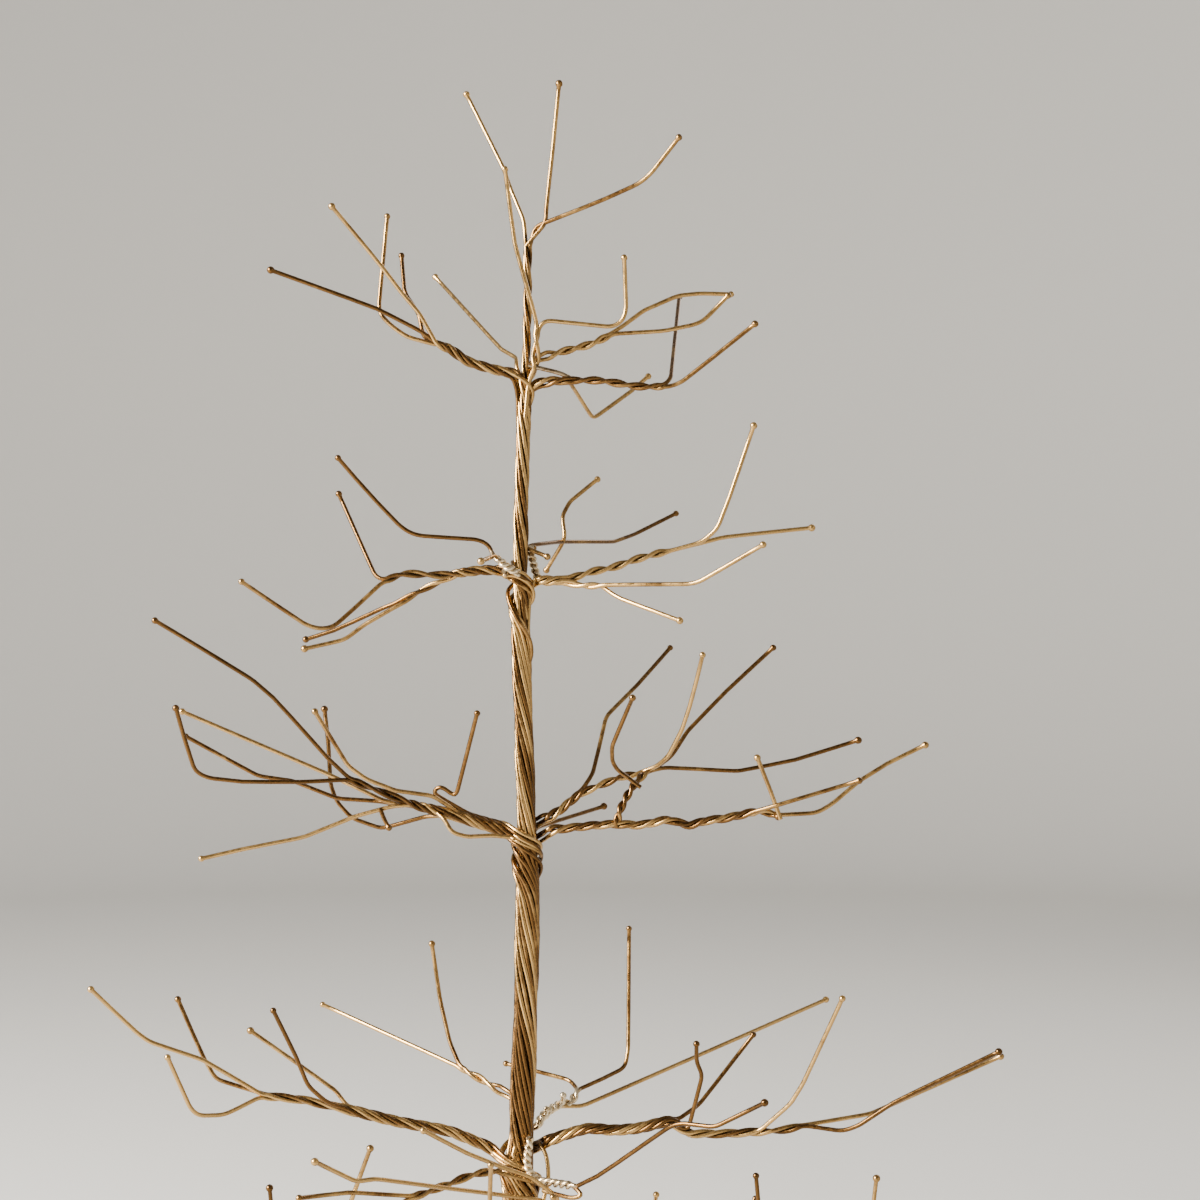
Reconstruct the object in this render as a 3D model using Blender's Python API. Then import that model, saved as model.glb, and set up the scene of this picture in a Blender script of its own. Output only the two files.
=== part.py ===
"""A tree made of brass wires: a twisted trunk with tiers of twisted branches, on a low round base.

Metres, +Z up, +X to the right and +Y to the back. The origin is the centre of the base's underside.
"""

import math
from typing import NamedTuple

import bmesh
import bpy
from mathutils import Matrix, Vector

# Wire
MM = 0.001
WIRE_DIAMETER = 2.0 * MM
BEAD_DIAMETER = 2.9 * MM
PAIR_LAY = 9 * MM
BUNDLE_LAY = 10.5 * MM
BUNDLE_RING_STEP = 6 * MM
STEM_LOBE_DEPTH = 0.38
STEM_LOOSENESS = 1.1
TWIG_ROOT_DEPTH = 3 * MM
TRUNK_PITCH = 150 * MM
CLEARANCE = 0.3 * MM
WIRE_SIDES = 4
WIRE_SIDES_SWELL = 1.1
PAIR_FLATNESS = 0.55
BEAD_NECK = 1.1

# One unit of the branches' bends: a larger one spreads every branch further
BEND_UNIT = 1.0 * MM

# Heights, each counted from the tier below it
TIER_6_RISE = 170 * MM
TIER_5_RISE = 140 * MM
TIER_4_RISE = 142 * MM
TIER_3_RISE = 117 * MM
TIER_2_RISE = 92.5 * MM
CROWN_RISE = 61.5 * MM
TIER_6 = TIER_6_RISE
TIER_5 = TIER_6 + TIER_5_RISE
TIER_4 = TIER_5 + TIER_4_RISE
TIER_3 = TIER_4 + TIER_3_RISE
TIER_2 = TIER_3 + TIER_2_RISE
CROWN = TIER_2 + CROWN_RISE

# Trunk: how many wires lie in it below each tier, and how many flutes the bundle shows there
WIRES_PACKING = 0.8
TRUNK_RING_STEP = 27 * MM
TRUNK_FLUTE_DEPTH = 0.16
TRUNK_SHOULDER = 7 * MM
TRUNK_TOP_BELOW_CROWN = 8 * MM
TRUNK_OVERLAP = 3 * MM
TRUNK_SWAY = 1.6 * MM
TRUNK_SWAY_LENGTH = 285 * MM
TRUNK_SWAY_START = 70 * MM

# Base
BASE_DIAMETER = 190 * MM
BASE_THICKNESS = 16 * MM
BASE_EDGE_RADIUS = 4 * MM
COLLAR_WALL = 5 * MM
COLLAR_HEIGHT = 6 * MM
COLLAR_CURVE_REACH = 0.3
COLLAR_CURVE_RISE = 0.4
SOCKET_DEPTH = 10 * MM
SOCKET_PLAY = 0.5 * MM
BASE_SEGMENTS = 28
SHADE_ANGLE = math.radians(35)
MERGE_DISTANCE = 0.01 * MM

BRASS = ("antique brass", (0.60, 0.40, 0.17, 1.0), 0.34, 1.0)
DARK_BRASS = ("dark brass", (0.24, 0.15, 0.07, 1.0), 0.42, 1.0)


class Section(NamedTuple):
    """One length of the trunk, from below upwards."""

    top: float
    wires_low: int
    wires_high: int
    flutes: int


class Twig(NamedTuple):
    """One wire: where it leaves the stem, as a share of the stem's length, and its bends."""

    leaves: float
    bends: tuple


class Branch(NamedTuple):
    """Wires twisted into a stem, with the twigs they part into. Bends count from the tier's centre."""

    name: str
    tier: float
    strands: int
    stem: tuple
    twigs: tuple = ()


TRUNK_SECTIONS = (
    Section(TIER_6 + TRUNK_SHOULDER, 84, 78, 9),
    Section(TIER_5 + TRUNK_SHOULDER, 60, 56, 8),
    Section(TIER_4 + TRUNK_SHOULDER, 28, 26, 7),
    Section(TIER_3 + TRUNK_SHOULDER, 17, 16, 6),
    Section(TIER_2 + TRUNK_SHOULDER, 10, 10, 5),
    Section(CROWN - TRUNK_TOP_BELOW_CROWN, 4, 4, 3),
)

CROWN_BRANCHES = (
    Branch(
        "crown",
        CROWN,
        3,
        ((0, 0, (CLEARANCE - TRUNK_TOP_BELOW_CROWN) / BEND_UNIT), (3, 0, 2)),
        (
            Twig(1, ((-8, 9, 27), (-27, 20, 67))),
            Twig(0.9, ((10, -3, 5), (16, -10, 65))),
            Twig(1, ((12, -4, 5), (35, -10, 13), (55, -15, 22), (69, -20, 39))),
        ),
    ),
)

TIER_2_BRANCHES = (
    Branch(
        "left_branch_2",
        TIER_2,
        3,
        ((0, 0, -2), (-10, -3, -1), (-25, -5, 3), (-33, -6, 9), (-39, -8, 11)),
        (
            Twig(1, ((-45, -9, 16), (-111, -20, 42))),
            Twig(1, ((-58, -6, 18), (-65, -4, 27), (-62, 5, 70))),
            Twig(1, ((-46, -10, 24), (-54, -11, 33), (-84, -20, 70))),
            Twig(0.95, ((-45, -4, 14), (-47, 0, 25), (-54, 3, 35), (-56, 10, 53))),
        ),
    ),
    Branch("rear_twig_2", TIER_2, 1, ((0, 0, 3), (-11, 14, 11), (-45, 70, 52))),
    Branch(
        "upright_branch_2",
        TIER_2,
        2,
        ((0, 0, -8), (5, -4, -4), (6, -4, 20)),
        (
            Twig(1, ((1, -7, 38), (-7, -10, 80), (-8, -12, 88))),
            Twig(1, ((9, -4, 22), (40, -6, 18), (44, -7, 21), (46, -7, 26), (45, -10, 49))),
        ),
    ),
    Branch(
        "upper_right_branch_2",
        TIER_2,
        2,
        ((0, 0, 4), (8, 3, 6), (18, 4, 9), (30, 5, 12), (40, 6, 17)),
        (
            Twig(0.9, ((45, 8, 21), (68, 10, 35), (94, 14, 36))),
            Twig(1, ((63, 4, 18), (78, 3, 21), (92, 4, 34))),
        ),
    ),
    Branch(
        "lower_right_branch_2",
        TIER_2,
        2,
        ((0, 0, -6), (17, -2, -5), (34, -4, -5), (51, -5, -8), (66, -6, -8)),
        (
            Twig(1, ((71, -7, -6), (103, -14, 19))),
            Twig(0.95, ((72, 60, 41),)),
            Twig(0.25, ((31, 25, -20), (51, 42, -4), (57, 48, 2))),
        ),
    ),
)

TIER_3_BRANCHES = (
    Branch(
        "left_branch_3",
        TIER_3,
        3,
        ((0, 0, 2), (-19, -1, 2), (-37, -4, 0), (-54, -6, 1), (-63, -8, -3)),
        (
            Twig(1, ((-70, -10, -10), (-84, -14, -23), (-95, -17, -23), (-123, -25, -3))),
            Twig(1, ((-84, 6, 37),)),
            Twig(0.45, ((-37, 2, -2), (-64, 8, -14), (-100, 14, -29))),
            Twig(0.5, ((-45, 3, -6), (-80, 2, -28), (-99, 2, -33))),
        ),
    ),
    Branch(
        "upper_left_branch_3",
        TIER_3,
        2,
        ((0, 0, 0), (-2, -8, 1), (-8, -11, 4), (-14, -10, 10)),
        (
            Twig(1, ((-20, -9, 16), (-50, -11, 18), (-82, -14, 52))),
            Twig(0.9, ((-18, -25, 6),)),
        ),
    ),
    Branch(
        "right_branch_3",
        TIER_3,
        3,
        ((0, 0, -1), (12, -1, -2), (19, -1, -2), (31, 1, 2), (49, 3, 7), (65, 4, 11)),
        (
            Twig(1, ((80, 1, 15), (88, -1, 23), (103, -6, 67))),
            Twig(1, ((81, 6, 15), (90, 8, 17), (131, 16, 22))),
            Twig(0.28, ((32, -7, -4), (76, -23, -4), (105, -35, 13))),
            Twig(0.25, ((30, -8, -6), (40, -12, -9), (57, -24, -15), (69, -30, -20))),
        ),
    ),
    Branch(
        "rear_branch_3",
        TIER_3,
        1,
        ((0, 0, 13), (15, 30, 16), (41, 70, 17), (51, 84, 21), (72, 105, 32)),
        (
            Twig(0.3, ((16, 35, 28), (33, 50, 46))),
            Twig(0.26, ((9, 45, 3),)),
        ),
    ),
)

TIER_4_BRANCHES = (
    Branch(
        "left_branch_4",
        TIER_4,
        5,
        ((0, 0, 0), (-9, -1, 3), (-29, -3, 9), (-52, -7, 15), (-77, -10, 26)),
        (
            Twig(1, ((-87, -13, 36), (-110, -19, 63), (-160, -30, 97))),
            Twig(1, ((-97, -17, 25), (-123, -23, 26), (-140, -27, 29), (-150, -35, 59))),
            Twig(0.6, ((-63, 0, 15), (-84, -1, 26), (-153, -4, 56))),
            Twig(0.62, ((-67, 6, 15), (-85, 7, 16), (-120, 9, 26), (-154, 10, 44))),
            Twig(0.42, ((-40, -12, 19), (-56, -17, 21), (-75, -21, 30), (-91, -24, 57))),
            Twig(0.4, ((-65, 10, 2), (-80, 13, 6), (-89, 15, 20), (-92, 18, 56))),
            Twig(0.7, ((-76, -5, 9), (-98, -7, 0), (-143, -12, -9))),
            Twig(0.38, ((-39, -7, 20), (-35, -9, 23), (-30, -10, 18), (-20, -20, 56))),
        ),
    ),
    Branch(
        "right_branch_4",
        TIER_4,
        4,
        (
            *((0, 0, -2), (12, -1, 2), (28, -2, 4), (53, -4, 5)),
            *((65, -5, 8), (75, -6, 5), (91, -7, 8), (113, -9, 10)),
        ),
        (
            Twig(1, ((107, -11, 25), (103, -14, 36))),
            Twig(1, ((133, -9, 12), (150, -6, 25), (180, -4, 41))),
            Twig(0.65, ((82, -11, 10), (99, -13, 13), (149, -16, 26))),
        ),
    ),
    Branch(
        "upper_right_branch_4",
        TIER_4,
        3,
        ((0, 0, 5), (15, 3, 10), (25, 5, 18), (44, 7, 26), (60, 9, 30)),
        (
            Twig(0.5, ((31, 12, 27), (36, 30, 48), (68, 70, 83))),
            Twig(0.9, ((64, -3, 35), (71, -12, 49), (79, -30, 82))),
            Twig(1, ((67, 12, 35), (80, 17, 52), (114, 24, 84))),
            Twig(0.85, ((39, -6, 31), (40, -12, 41), (49, -24, 63))),
            Twig(1, ((97, 12, 28), (123, 13, 33), (152, 14, 42))),
        ),
    ),
    Branch("rear_twig_4", TIER_4, 1, ((0, 0, 2), (36, 45, 9))),
)

TIER_5_BRANCHES = (
    Branch(
        "left_branch_5",
        TIER_5,
        5,
        ((0, 0, -5), (-19, -1, 3), (-33, -4, 10), (-57, -7, 15), (-116, -14, 28)),
        (
            Twig(1, ((-141, -19, 45), (-167, -24, 56), (-188, -30, 78))),
            Twig(1, ((-137, -10, 34), (-143, -8, 44), (-155, -4, 69))),
            Twig(1, ((-128, -22, 22), (-143, -32, 24), (-153, -38, 50))),
            Twig(0.7, ((-124, 6, 53),)),
            Twig(0.7, ((-87, -14, 25), (-96, -18, 37), (-109, -26, 68))),
        ),
    ),
    Branch(
        "upper_left_branch_5",
        TIER_5,
        2,
        ((0, 0, 22), (-8, 4, 25), (-31, 20, 34)),
        (
            Twig(1, ((-98, 60, 55),)),
            Twig(0.97, ((-35, 24, 44), (-40, 30, 63), (-44, 34, 88))),
        ),
    ),
    Branch(
        "front_wire_5",
        TIER_5,
        1,
        ((0, 0, -46), (13, -12, -30), (16, -22, -15), (4, -26, -5), (-40, -66, 25)),
    ),
    Branch(
        "long_front_wire_5",
        TIER_5,
        1,
        ((0, 0, -20), (2, -12, -18), (-32, -55, -2), (-62, -93, 11), (-80, -110, 23)),
    ),
    Branch(
        "front_left_branch_5",
        TIER_5,
        2,
        ((0, 0, -9), (-10, -14, -5), (-21, -22, -4), (-32, -30, -7), (-49, -44, -10)),
        (
            Twig(0.95, ((-72, -62, -2), (-91, -75, -1))),
            Twig(1, ((-62, -56, -16), (-90, -70, -22), (-112, -84, -14))),
        ),
    ),
    Branch(
        "rear_right_branch_5",
        TIER_5,
        2,
        ((0, 0, 8), (10, 8, 16), (21, 20, 17), (25, 28, 22)),
        (
            Twig(1, ((35, 34, 25), (47, 43, 33), (48, 55, 92))),
            Twig(0.97, ((4, 38, 28), (-10, 45, 30))),
            Twig(0.75, ((34, 30, 18), (145, 90, 52))),
        ),
    ),
    Branch(
        "right_branch_5",
        TIER_5,
        4,
        (
            *((0, 0, 0), (18, -1, 7), (29, -2, 11), (52, -3, 11)),
            *((66, -4, 15), (74, -5, 9), (103, -6, 10), (125, -8, 13)),
        ),
        (
            Twig(1, ((145, -14, 13), (164, -18, 26), (209, -26, 50))),
            Twig(1, ((156, -1, 17), (215, 3, 42))),
            Twig(0.85, ((121, -16, 28), (140, -30, 74))),
            Twig(0.52, ((79, 2, 20), (104, 12, 50))),
            Twig(0.58, ((77, -9, 25), (80, -11, 38), (77, -14, 51))),
        ),
    ),
    Branch(
        "front_right_branch_5",
        TIER_5,
        2,
        ((0, 0, -14), (9, -14, -10), (24, -30, -8)),
        (Twig(1, ((34, -38, -1), (66, -63, 28), (82, -73, 28), (102, -85, 41))),),
    ),
)

TIER_6_BRANCHES = (
    Branch(
        "left_branch_6",
        TIER_6,
        5,
        ((0, 0, -4), (-22, -1, 6), (-60, -4, 17), (-100, -8, 30), (-128, -10, 33)),
        (
            Twig(1, ((-158, -17, 60), (-204, -26, 96))),
            Twig(1, ((-186, 1, 42), (-214, 6, 66))),
            Twig(1, ((-152, -27, 29), (-172, -38, 50))),
            Twig(0.7, ((-104, -14, 50), (-113, -10, 126))),
            Twig(0.8, ((-130, 8, 52), (-146, 18, 92))),
        ),
    ),
    Branch(
        "rear_left_branch_6",
        TIER_6,
        2,
        ((0, 0, 16), (-16, 22, 26), (-38, 52, 38)),
        (
            Twig(1, ((-62, 78, 54), (-96, 108, 80))),
            Twig(0.95, ((-44, 68, 62), (-46, 84, 108))),
        ),
    ),
    Branch(
        "front_left_branch_6",
        TIER_6,
        2,
        ((0, 0, 28), (-14, -20, 38), (-30, -46, 48)),
        (
            Twig(1, ((-46, -52, 84), (-63, -60, 156))),
            Twig(1, ((-64, -80, 62), (-100, -112, 92))),
            Twig(0.95, ((-14, -64, 72), (-11, -80, 154))),
        ),
    ),
    Branch(
        "rear_right_branch_6",
        TIER_6,
        2,
        ((0, 0, 6), (20, 22, 18), (46, 50, 32)),
        (
            Twig(0.95, ((54, 36, 62), (60, 20, 115))),
            Twig(1, ((74, 82, 52), (112, 114, 88))),
            Twig(1, ((54, 84, 40), (62, 128, 62))),
        ),
    ),
    Branch(
        "right_branch_6",
        TIER_6,
        4,
        ((0, 0, 0), (20, -1, 9), (62, -4, 17), (96, -6, 22), (134, -9, 32)),
        (
            Twig(1, ((180, -17, 54), (224, -24, 84))),
            Twig(1, ((190, 10, 37), (232, 18, 58))),
            Twig(1, ((148, -6, 66), (158, -5, 129))),
            Twig(0.7, ((110, -12, 52), (103, -20, 134))),
        ),
    ),
    Branch(
        "front_right_branch_6",
        TIER_6,
        2,
        ((0, 0, -6), (16, -22, 8), (36, -50, 22)),
        (
            Twig(0.95, ((26, -48, 60), (14, -40, 130))),
            Twig(1, ((60, -84, 46), (96, -120, 82))),
            Twig(1, ((70, -68, 26), (126, -92, 50))),
        ),
    ),
)

BRANCHES = (
    *CROWN_BRANCHES,
    *TIER_2_BRANCHES,
    *TIER_3_BRANCHES,
    *TIER_4_BRANCHES,
    *TIER_5_BRANCHES,
    *TIER_6_BRANCHES,
)


def material(name, colour, roughness, metallic):
    """A Principled BSDF material with one colour."""
    made = bpy.data.materials.new(name)
    made.use_nodes = True
    shader = made.node_tree.nodes["Principled BSDF"]
    shader.inputs["Base Color"].default_value = colour
    shader.inputs["Roughness"].default_value = roughness
    shader.inputs["Metallic"].default_value = metallic
    made.diffuse_color = colour
    return made


def bundle_radius(wires):
    """Radius over the crests of a bundle of so many wires."""
    return WIRE_DIAMETER / 2 * math.sqrt(wires / WIRES_PACKING)


def trunk_centre(height):
    """Centre of the trunk at a height: plumb at the foot, then swaying a little to either side."""
    above = max(0, height - TRUNK_SWAY_START)
    return Vector((TRUNK_SWAY * math.sin(math.tau * above / TRUNK_SWAY_LENGTH), 0, height))


def lobed_section(lobes, depth):
    """Unit outline of a bundle: a crest and a hollow for each lobe."""
    turn = math.pi / lobes
    return [
        Vector((math.cos(turn * i), math.sin(turn * i), 0)) * (1 if i % 2 == 0 else 1 - depth)
        for i in range(2 * lobes)
    ]


def pair_section():
    """Unit outline of two wires side by side."""
    width = Vector((1, 0, 0))
    thickness = Vector((0, PAIR_FLATNESS, 0))
    return [width, thickness, -width, -thickness]


def round_section():
    """Unit outline of one wire: its few sides swell a little, to keep the wire's mean width."""
    turn = math.tau / WIRE_SIDES
    return [
        Vector((math.cos(turn * i), math.sin(turn * i), 0)) * WIRE_SIDES_SWELL for i in range(WIRE_SIDES)
    ]


def stations(points, radii, twists):
    """A matrix for each point of a route: its place, square to the route, turned and scaled."""
    directions = [(b - a).normalized() for a, b in zip(points, points[1:])]
    square = directions[0].to_track_quat("Z", "Y")
    found = []
    heading = directions[0]
    for i, point in enumerate(points):
        before = directions[max(i - 1, 0)]
        after = directions[min(i, len(directions) - 1)]
        middle = (before + after).normalized()
        square = heading.rotation_difference(middle) @ square
        heading = middle
        turned = square.to_matrix().to_4x4() @ Matrix.Rotation(twists[i], 4, "Z")
        found.append(Matrix.Translation(point) @ turned @ Matrix.Scale(radii[i], 4))
    return found


def sweep(section, matrices, pointed=False):
    """A closed mesh: the outline carried along the matrices, then capped, or brought to a point."""
    mesh = bmesh.new()
    ring = bmesh.ops.create_circle(mesh, segments=len(section), radius=1, cap_ends=True)["verts"]
    for vert, place in zip(ring, section):
        vert.co = matrices[0] @ place
    edges = list(mesh.edges)
    for old, new in zip(matrices, matrices[1:]):
        grown = bmesh.ops.extrude_edge_only(mesh, edges=edges)["geom"]
        moved = [g for g in grown if isinstance(g, bmesh.types.BMVert)]
        edges = [g for g in grown if isinstance(g, bmesh.types.BMEdge)]
        bmesh.ops.transform(mesh, matrix=new @ old.inverted(), verts=moved)
    if pointed:
        bmesh.ops.pointmerge(mesh, verts=moved, merge_co=matrices[-1].translation)
    else:
        bmesh.ops.edgeloop_fill(mesh, edges=edges)
    bmesh.ops.triangulate(mesh, faces=mesh.faces, quad_method="SHORT_EDGE")
    bmesh.ops.recalc_face_normals(mesh, faces=mesh.faces)
    return mesh


def route_length(points):
    """The length of a route."""
    return sum((b - a).length for a, b in zip(points, points[1:]))


def spaced(points, step):
    """The route as evenly spaced points, about a step apart, and the length from the start to each."""
    whole = route_length(points)
    count = max(1, round(whole / step))
    places = []
    for i in range(count + 1):
        along = whole * i / count
        places.append((point_along(points, along / whole), along))
    return places


def point_along(points, share):
    """The point at a share of a route's length."""
    lengths = [(b - a).length for a, b in zip(points, points[1:])]
    left = share * route_length(points)
    for a, b, length in zip(points, points[1:], lengths):
        if left <= length:
            return a.lerp(b, left / length)
        left -= length
    return points[-1].copy()


def wire(points):
    """One wire along its bends, with the ball that its melted tip makes."""
    bead = BEAD_DIAMETER / 2
    end = points[-1]
    outward = (end - points[-2]).normalized()
    bare = [*points[:-1], end - outward * bead * BEAD_NECK]
    route = [*bare, end, end + outward * bead]
    radii = [*[WIRE_DIAMETER / 2 for _ in bare], bead, bead]
    return sweep(round_section(), stations(route, radii, [0] * len(route)), pointed=True)


def twisted_stem(points, strands):
    """A stem of two or more wires twisted left-handed round each other."""
    if strands == 2:
        section, radius, pitch, step = pair_section(), WIRE_DIAMETER, 2 * PAIR_LAY, PAIR_LAY / 2
    else:
        section, radius = lobed_section(3, STEM_LOBE_DEPTH), bundle_radius(strands) * STEM_LOOSENESS
        pitch, step = 3 * BUNDLE_LAY, BUNDLE_RING_STEP
    route = spaced(points, step)
    places = [place for place, along in route]
    twists = [-math.tau * along / pitch for place, along in route]
    return sweep(section, stations(places, [radius] * len(places), twists))


def node(name, mesh, look):
    """An object of the scene from a mesh under construction."""
    data = bpy.data.meshes.new(name)
    mesh.to_mesh(data)
    mesh.free()
    data.materials.append(look)
    made = bpy.data.objects.new(name, data)
    bpy.context.scene.collection.objects.link(made)
    return made


def helper(name, mesh, look, group):
    """A shape that another object is joined to or cut by, left out of the model."""
    made = node(name, mesh, look)
    bpy.context.scene.collection.objects.unlink(made)
    group.objects.link(made)
    made.hide_render = True
    made.display_type = "WIRE"
    return made


def hidden_group(name):
    """A collection for helpers."""
    group = bpy.data.collections.new(name)
    bpy.context.scene.collection.children.link(group)
    return group


def combine(target, name, operation, group):
    """A Boolean modifier that joins or cuts an object with all the helpers in a collection."""
    joined = target.modifiers.new(name, "BOOLEAN")
    joined.operation = operation
    joined.operand_type = "COLLECTION"
    joined.collection = group
    joined.solver = "EXACT"


def trunk_length(low, section, flute_depth, grow):
    """One length of the trunk between two heights, larger all round by a given amount."""
    height = section.top - low
    steps = max(2, round(height / TRUNK_RING_STEP))
    heights = [low + height * i / steps for i in range(steps + 1)]
    places = [trunk_centre(z) for z in heights]
    thin = bundle_radius(section.wires_low) - bundle_radius(section.wires_high)
    radii = [bundle_radius(section.wires_low) - thin * i / steps + grow for i in range(steps + 1)]
    twists = [-math.tau * z / TRUNK_PITCH for z in heights]
    return sweep(lobed_section(section.flutes, flute_depth), stations(places, radii, twists))


def trunk_meshes(flute_depth, grow):
    """The lengths of the trunk from the foot upwards, each started a little inside the one below."""
    low = BASE_THICKNESS + COLLAR_HEIGHT - SOCKET_DEPTH + CLEARANCE
    meshes = []
    for section in TRUNK_SECTIONS:
        meshes.append(trunk_length(low, section, flute_depth, grow))
        low = section.top - TRUNK_OVERLAP
    return meshes


def add_trunk(look):
    """The trunk, and the slightly larger round shape that cuts a seat for it in each branch."""
    lowest, *others = trunk_meshes(TRUNK_FLUTE_DEPTH, 0)
    trunk = node("trunk", lowest, look)
    group = hidden_group("trunk lengths")
    for i, mesh in enumerate(others, 2):
        helper(f"trunk length {i}", mesh, look, group)
    combine(trunk, "join lengths", "UNION", group)
    seat = hidden_group("trunk seat")
    lowest, *others = trunk_meshes(0, CLEARANCE)
    lengths = hidden_group("trunk seat lengths")
    cutter = helper("trunk seat", lowest, look, seat)
    for i, mesh in enumerate(others, 2):
        helper(f"trunk seat length {i}", mesh, look, lengths)
    combine(cutter, "join lengths", "UNION", lengths)
    return seat


def add_branch(branch, seat, look):
    """A branch: the stem, joined with its twigs, and cut clear of the trunk."""
    origin = Vector((0, 0, branch.tier))
    root_height = branch.tier + branch.stem[0][2] * BEND_UNIT
    stem = [trunk_centre(root_height), *(origin + Vector(bend) * BEND_UNIT for bend in branch.stem[1:])]
    if branch.strands == 1:
        made = node(branch.name, wire(stem), look)
    else:
        made = node(branch.name, twisted_stem(stem, branch.strands), look)
    group = hidden_group(f"{branch.name} twigs")
    for i, twig in enumerate(branch.twigs, 1):
        root = point_along(stem, min(twig.leaves, 1 - TWIG_ROOT_DEPTH / route_length(stem)))
        route = [root, *(origin + Vector(bend) * BEND_UNIT for bend in twig.bends)]
        helper(f"{branch.name} twig {i}", wire(route), look, group)
    if branch.twigs:
        combine(made, "join twigs", "UNION", group)
    combine(made, "seat on trunk", "DIFFERENCE", seat)
    return made


def add_base(look):
    """The low round base, with a collar and a socket for the trunk's foot."""
    outer = BASE_DIAMETER / 2
    socket = bundle_radius(TRUNK_SECTIONS[0].wires_low) + SOCKET_PLAY
    collar = socket + COLLAR_WALL
    top = BASE_THICKNESS + COLLAR_HEIGHT
    profile = [(0, 0), (outer - BASE_EDGE_RADIUS / 2, 0), (outer, BASE_EDGE_RADIUS / 2)]
    for angle in (0, 45, 90):
        turn = math.radians(angle)
        reach = outer - BASE_EDGE_RADIUS * (1 - math.cos(turn))
        rise = BASE_THICKNESS - BASE_EDGE_RADIUS * (1 - math.sin(turn))
        profile.append((reach, rise))
    profile += [
        (collar + COLLAR_HEIGHT, BASE_THICKNESS),
        (collar + COLLAR_HEIGHT * COLLAR_CURVE_REACH, BASE_THICKNESS + COLLAR_HEIGHT * COLLAR_CURVE_RISE),
        (collar, top),
        (socket, top),
        (socket, top - SOCKET_DEPTH),
        (0, top - SOCKET_DEPTH),
    ]
    mesh = bmesh.new()
    verts = [mesh.verts.new((reach, 0, rise)) for reach, rise in profile]
    edges = [mesh.edges.new(pair) for pair in zip(verts, verts[1:])]
    bmesh.ops.spin(
        mesh,
        geom=verts + edges,
        axis=(0, 0, 1),
        cent=(0, 0, 0),
        angle=math.tau,
        steps=BASE_SEGMENTS,
        use_merge=True,
    )
    bmesh.ops.remove_doubles(mesh, verts=mesh.verts, dist=MERGE_DISTANCE)
    bmesh.ops.recalc_face_normals(mesh, faces=mesh.faces)
    made = node("base", mesh, look)
    made.data.shade_smooth()
    made.data.set_sharp_from_angle(angle=SHADE_ANGLE)
    return made


def build():
    """Clears the scene and makes every part of the tree."""
    for old in list(bpy.data.objects):
        bpy.data.objects.remove(old, do_unlink=True)
    brass = material(*BRASS)
    add_base(material(*DARK_BRASS))
    seat = add_trunk(brass)
    for branch in BRANCHES:
        add_branch(branch, seat, brass)


build()
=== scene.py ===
"""The looks of the wire tree: every wire on its own, twisted into the trunk and the stems, and a turned base.

Lengths in the tables are in mm. A branch's bends count from the centre of its tier, with +X to the right,
+Y to the back and +Z up.
"""

import itertools
import logging
import math
import random
from dataclasses import dataclass, field
from enum import Enum
from typing import ClassVar, Sequence

import bmesh
import bpy
from mathutils import Matrix, Vector


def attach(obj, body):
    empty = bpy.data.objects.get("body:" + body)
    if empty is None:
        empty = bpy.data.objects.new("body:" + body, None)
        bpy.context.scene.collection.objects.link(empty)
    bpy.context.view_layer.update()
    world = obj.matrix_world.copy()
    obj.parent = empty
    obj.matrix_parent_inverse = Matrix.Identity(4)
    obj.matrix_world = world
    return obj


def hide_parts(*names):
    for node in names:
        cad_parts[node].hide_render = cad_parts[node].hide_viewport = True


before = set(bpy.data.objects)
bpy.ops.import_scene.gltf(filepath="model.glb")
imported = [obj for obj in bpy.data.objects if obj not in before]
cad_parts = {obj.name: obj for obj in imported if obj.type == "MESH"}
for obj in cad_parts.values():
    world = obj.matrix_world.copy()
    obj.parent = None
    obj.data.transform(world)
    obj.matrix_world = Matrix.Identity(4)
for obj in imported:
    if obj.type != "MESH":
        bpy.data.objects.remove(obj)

LOG = logging.getLogger("wire tree")
MM = 0.001
TINY = 1e-9
WIRE_EDGE = math.radians(60)
TURNED_EDGE = math.radians(40)
WORN_TURN = math.radians(8)
EDGE_WEAR = 0.5
# How fast Blender's wave texture turns at a scale of 1, in radians a metre
WAVE_RATE = 20
Span = tuple[float, float]
Bend = tuple[float, float, float]


class Tip(Enum):
    """How a wire ends."""

    BALL = "melted to a ball"
    CUT = "cut flush"


class Tier(Enum):
    """The height of each tier's centre above the floor, in mm."""

    SIXTH = 170.0
    FIFTH = 310.0
    FOURTH = 452.0
    THIRD = 569.0
    SECOND = 661.5
    CROWN = 723.0


class Hand(Enum):
    """Which way wires are twisted round each other."""

    LEFT = -1
    RIGHT = 1


@dataclass(frozen=True)
class Twig:
    """One wire of a branch: where it leaves the stem, as a share of the stem's length, and its bends."""

    leaves: float
    bends: tuple[Bend, ...]
    tip: Tip = Tip.BALL


@dataclass(frozen=True)
class BranchPlan:
    """The wires of one branch: the bends of the stem that they share, and those of each twig.

    A rooted branch comes out of the trunk, and any other one out of a neighbour's stem. Soldered says how
    much solder whitens the stem, from 0 to 1.
    """

    node: str
    tier: Tier
    stem: tuple[Bend, ...]
    twigs: tuple[Twig, ...]
    hand: Hand = Hand.LEFT
    lay: float = 18.0
    rooted: bool = True
    soldered: float = 0.0


@dataclass(frozen=True)
class LooseWire:
    """A wire that is hooked or wound on, by its bends from a tier's centre."""

    node: str
    tier: Tier
    bends: tuple[Bend, ...]
    start: Tip = Tip.BALL
    end: Tip = Tip.BALL
    soldered: float = 0.0


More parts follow.
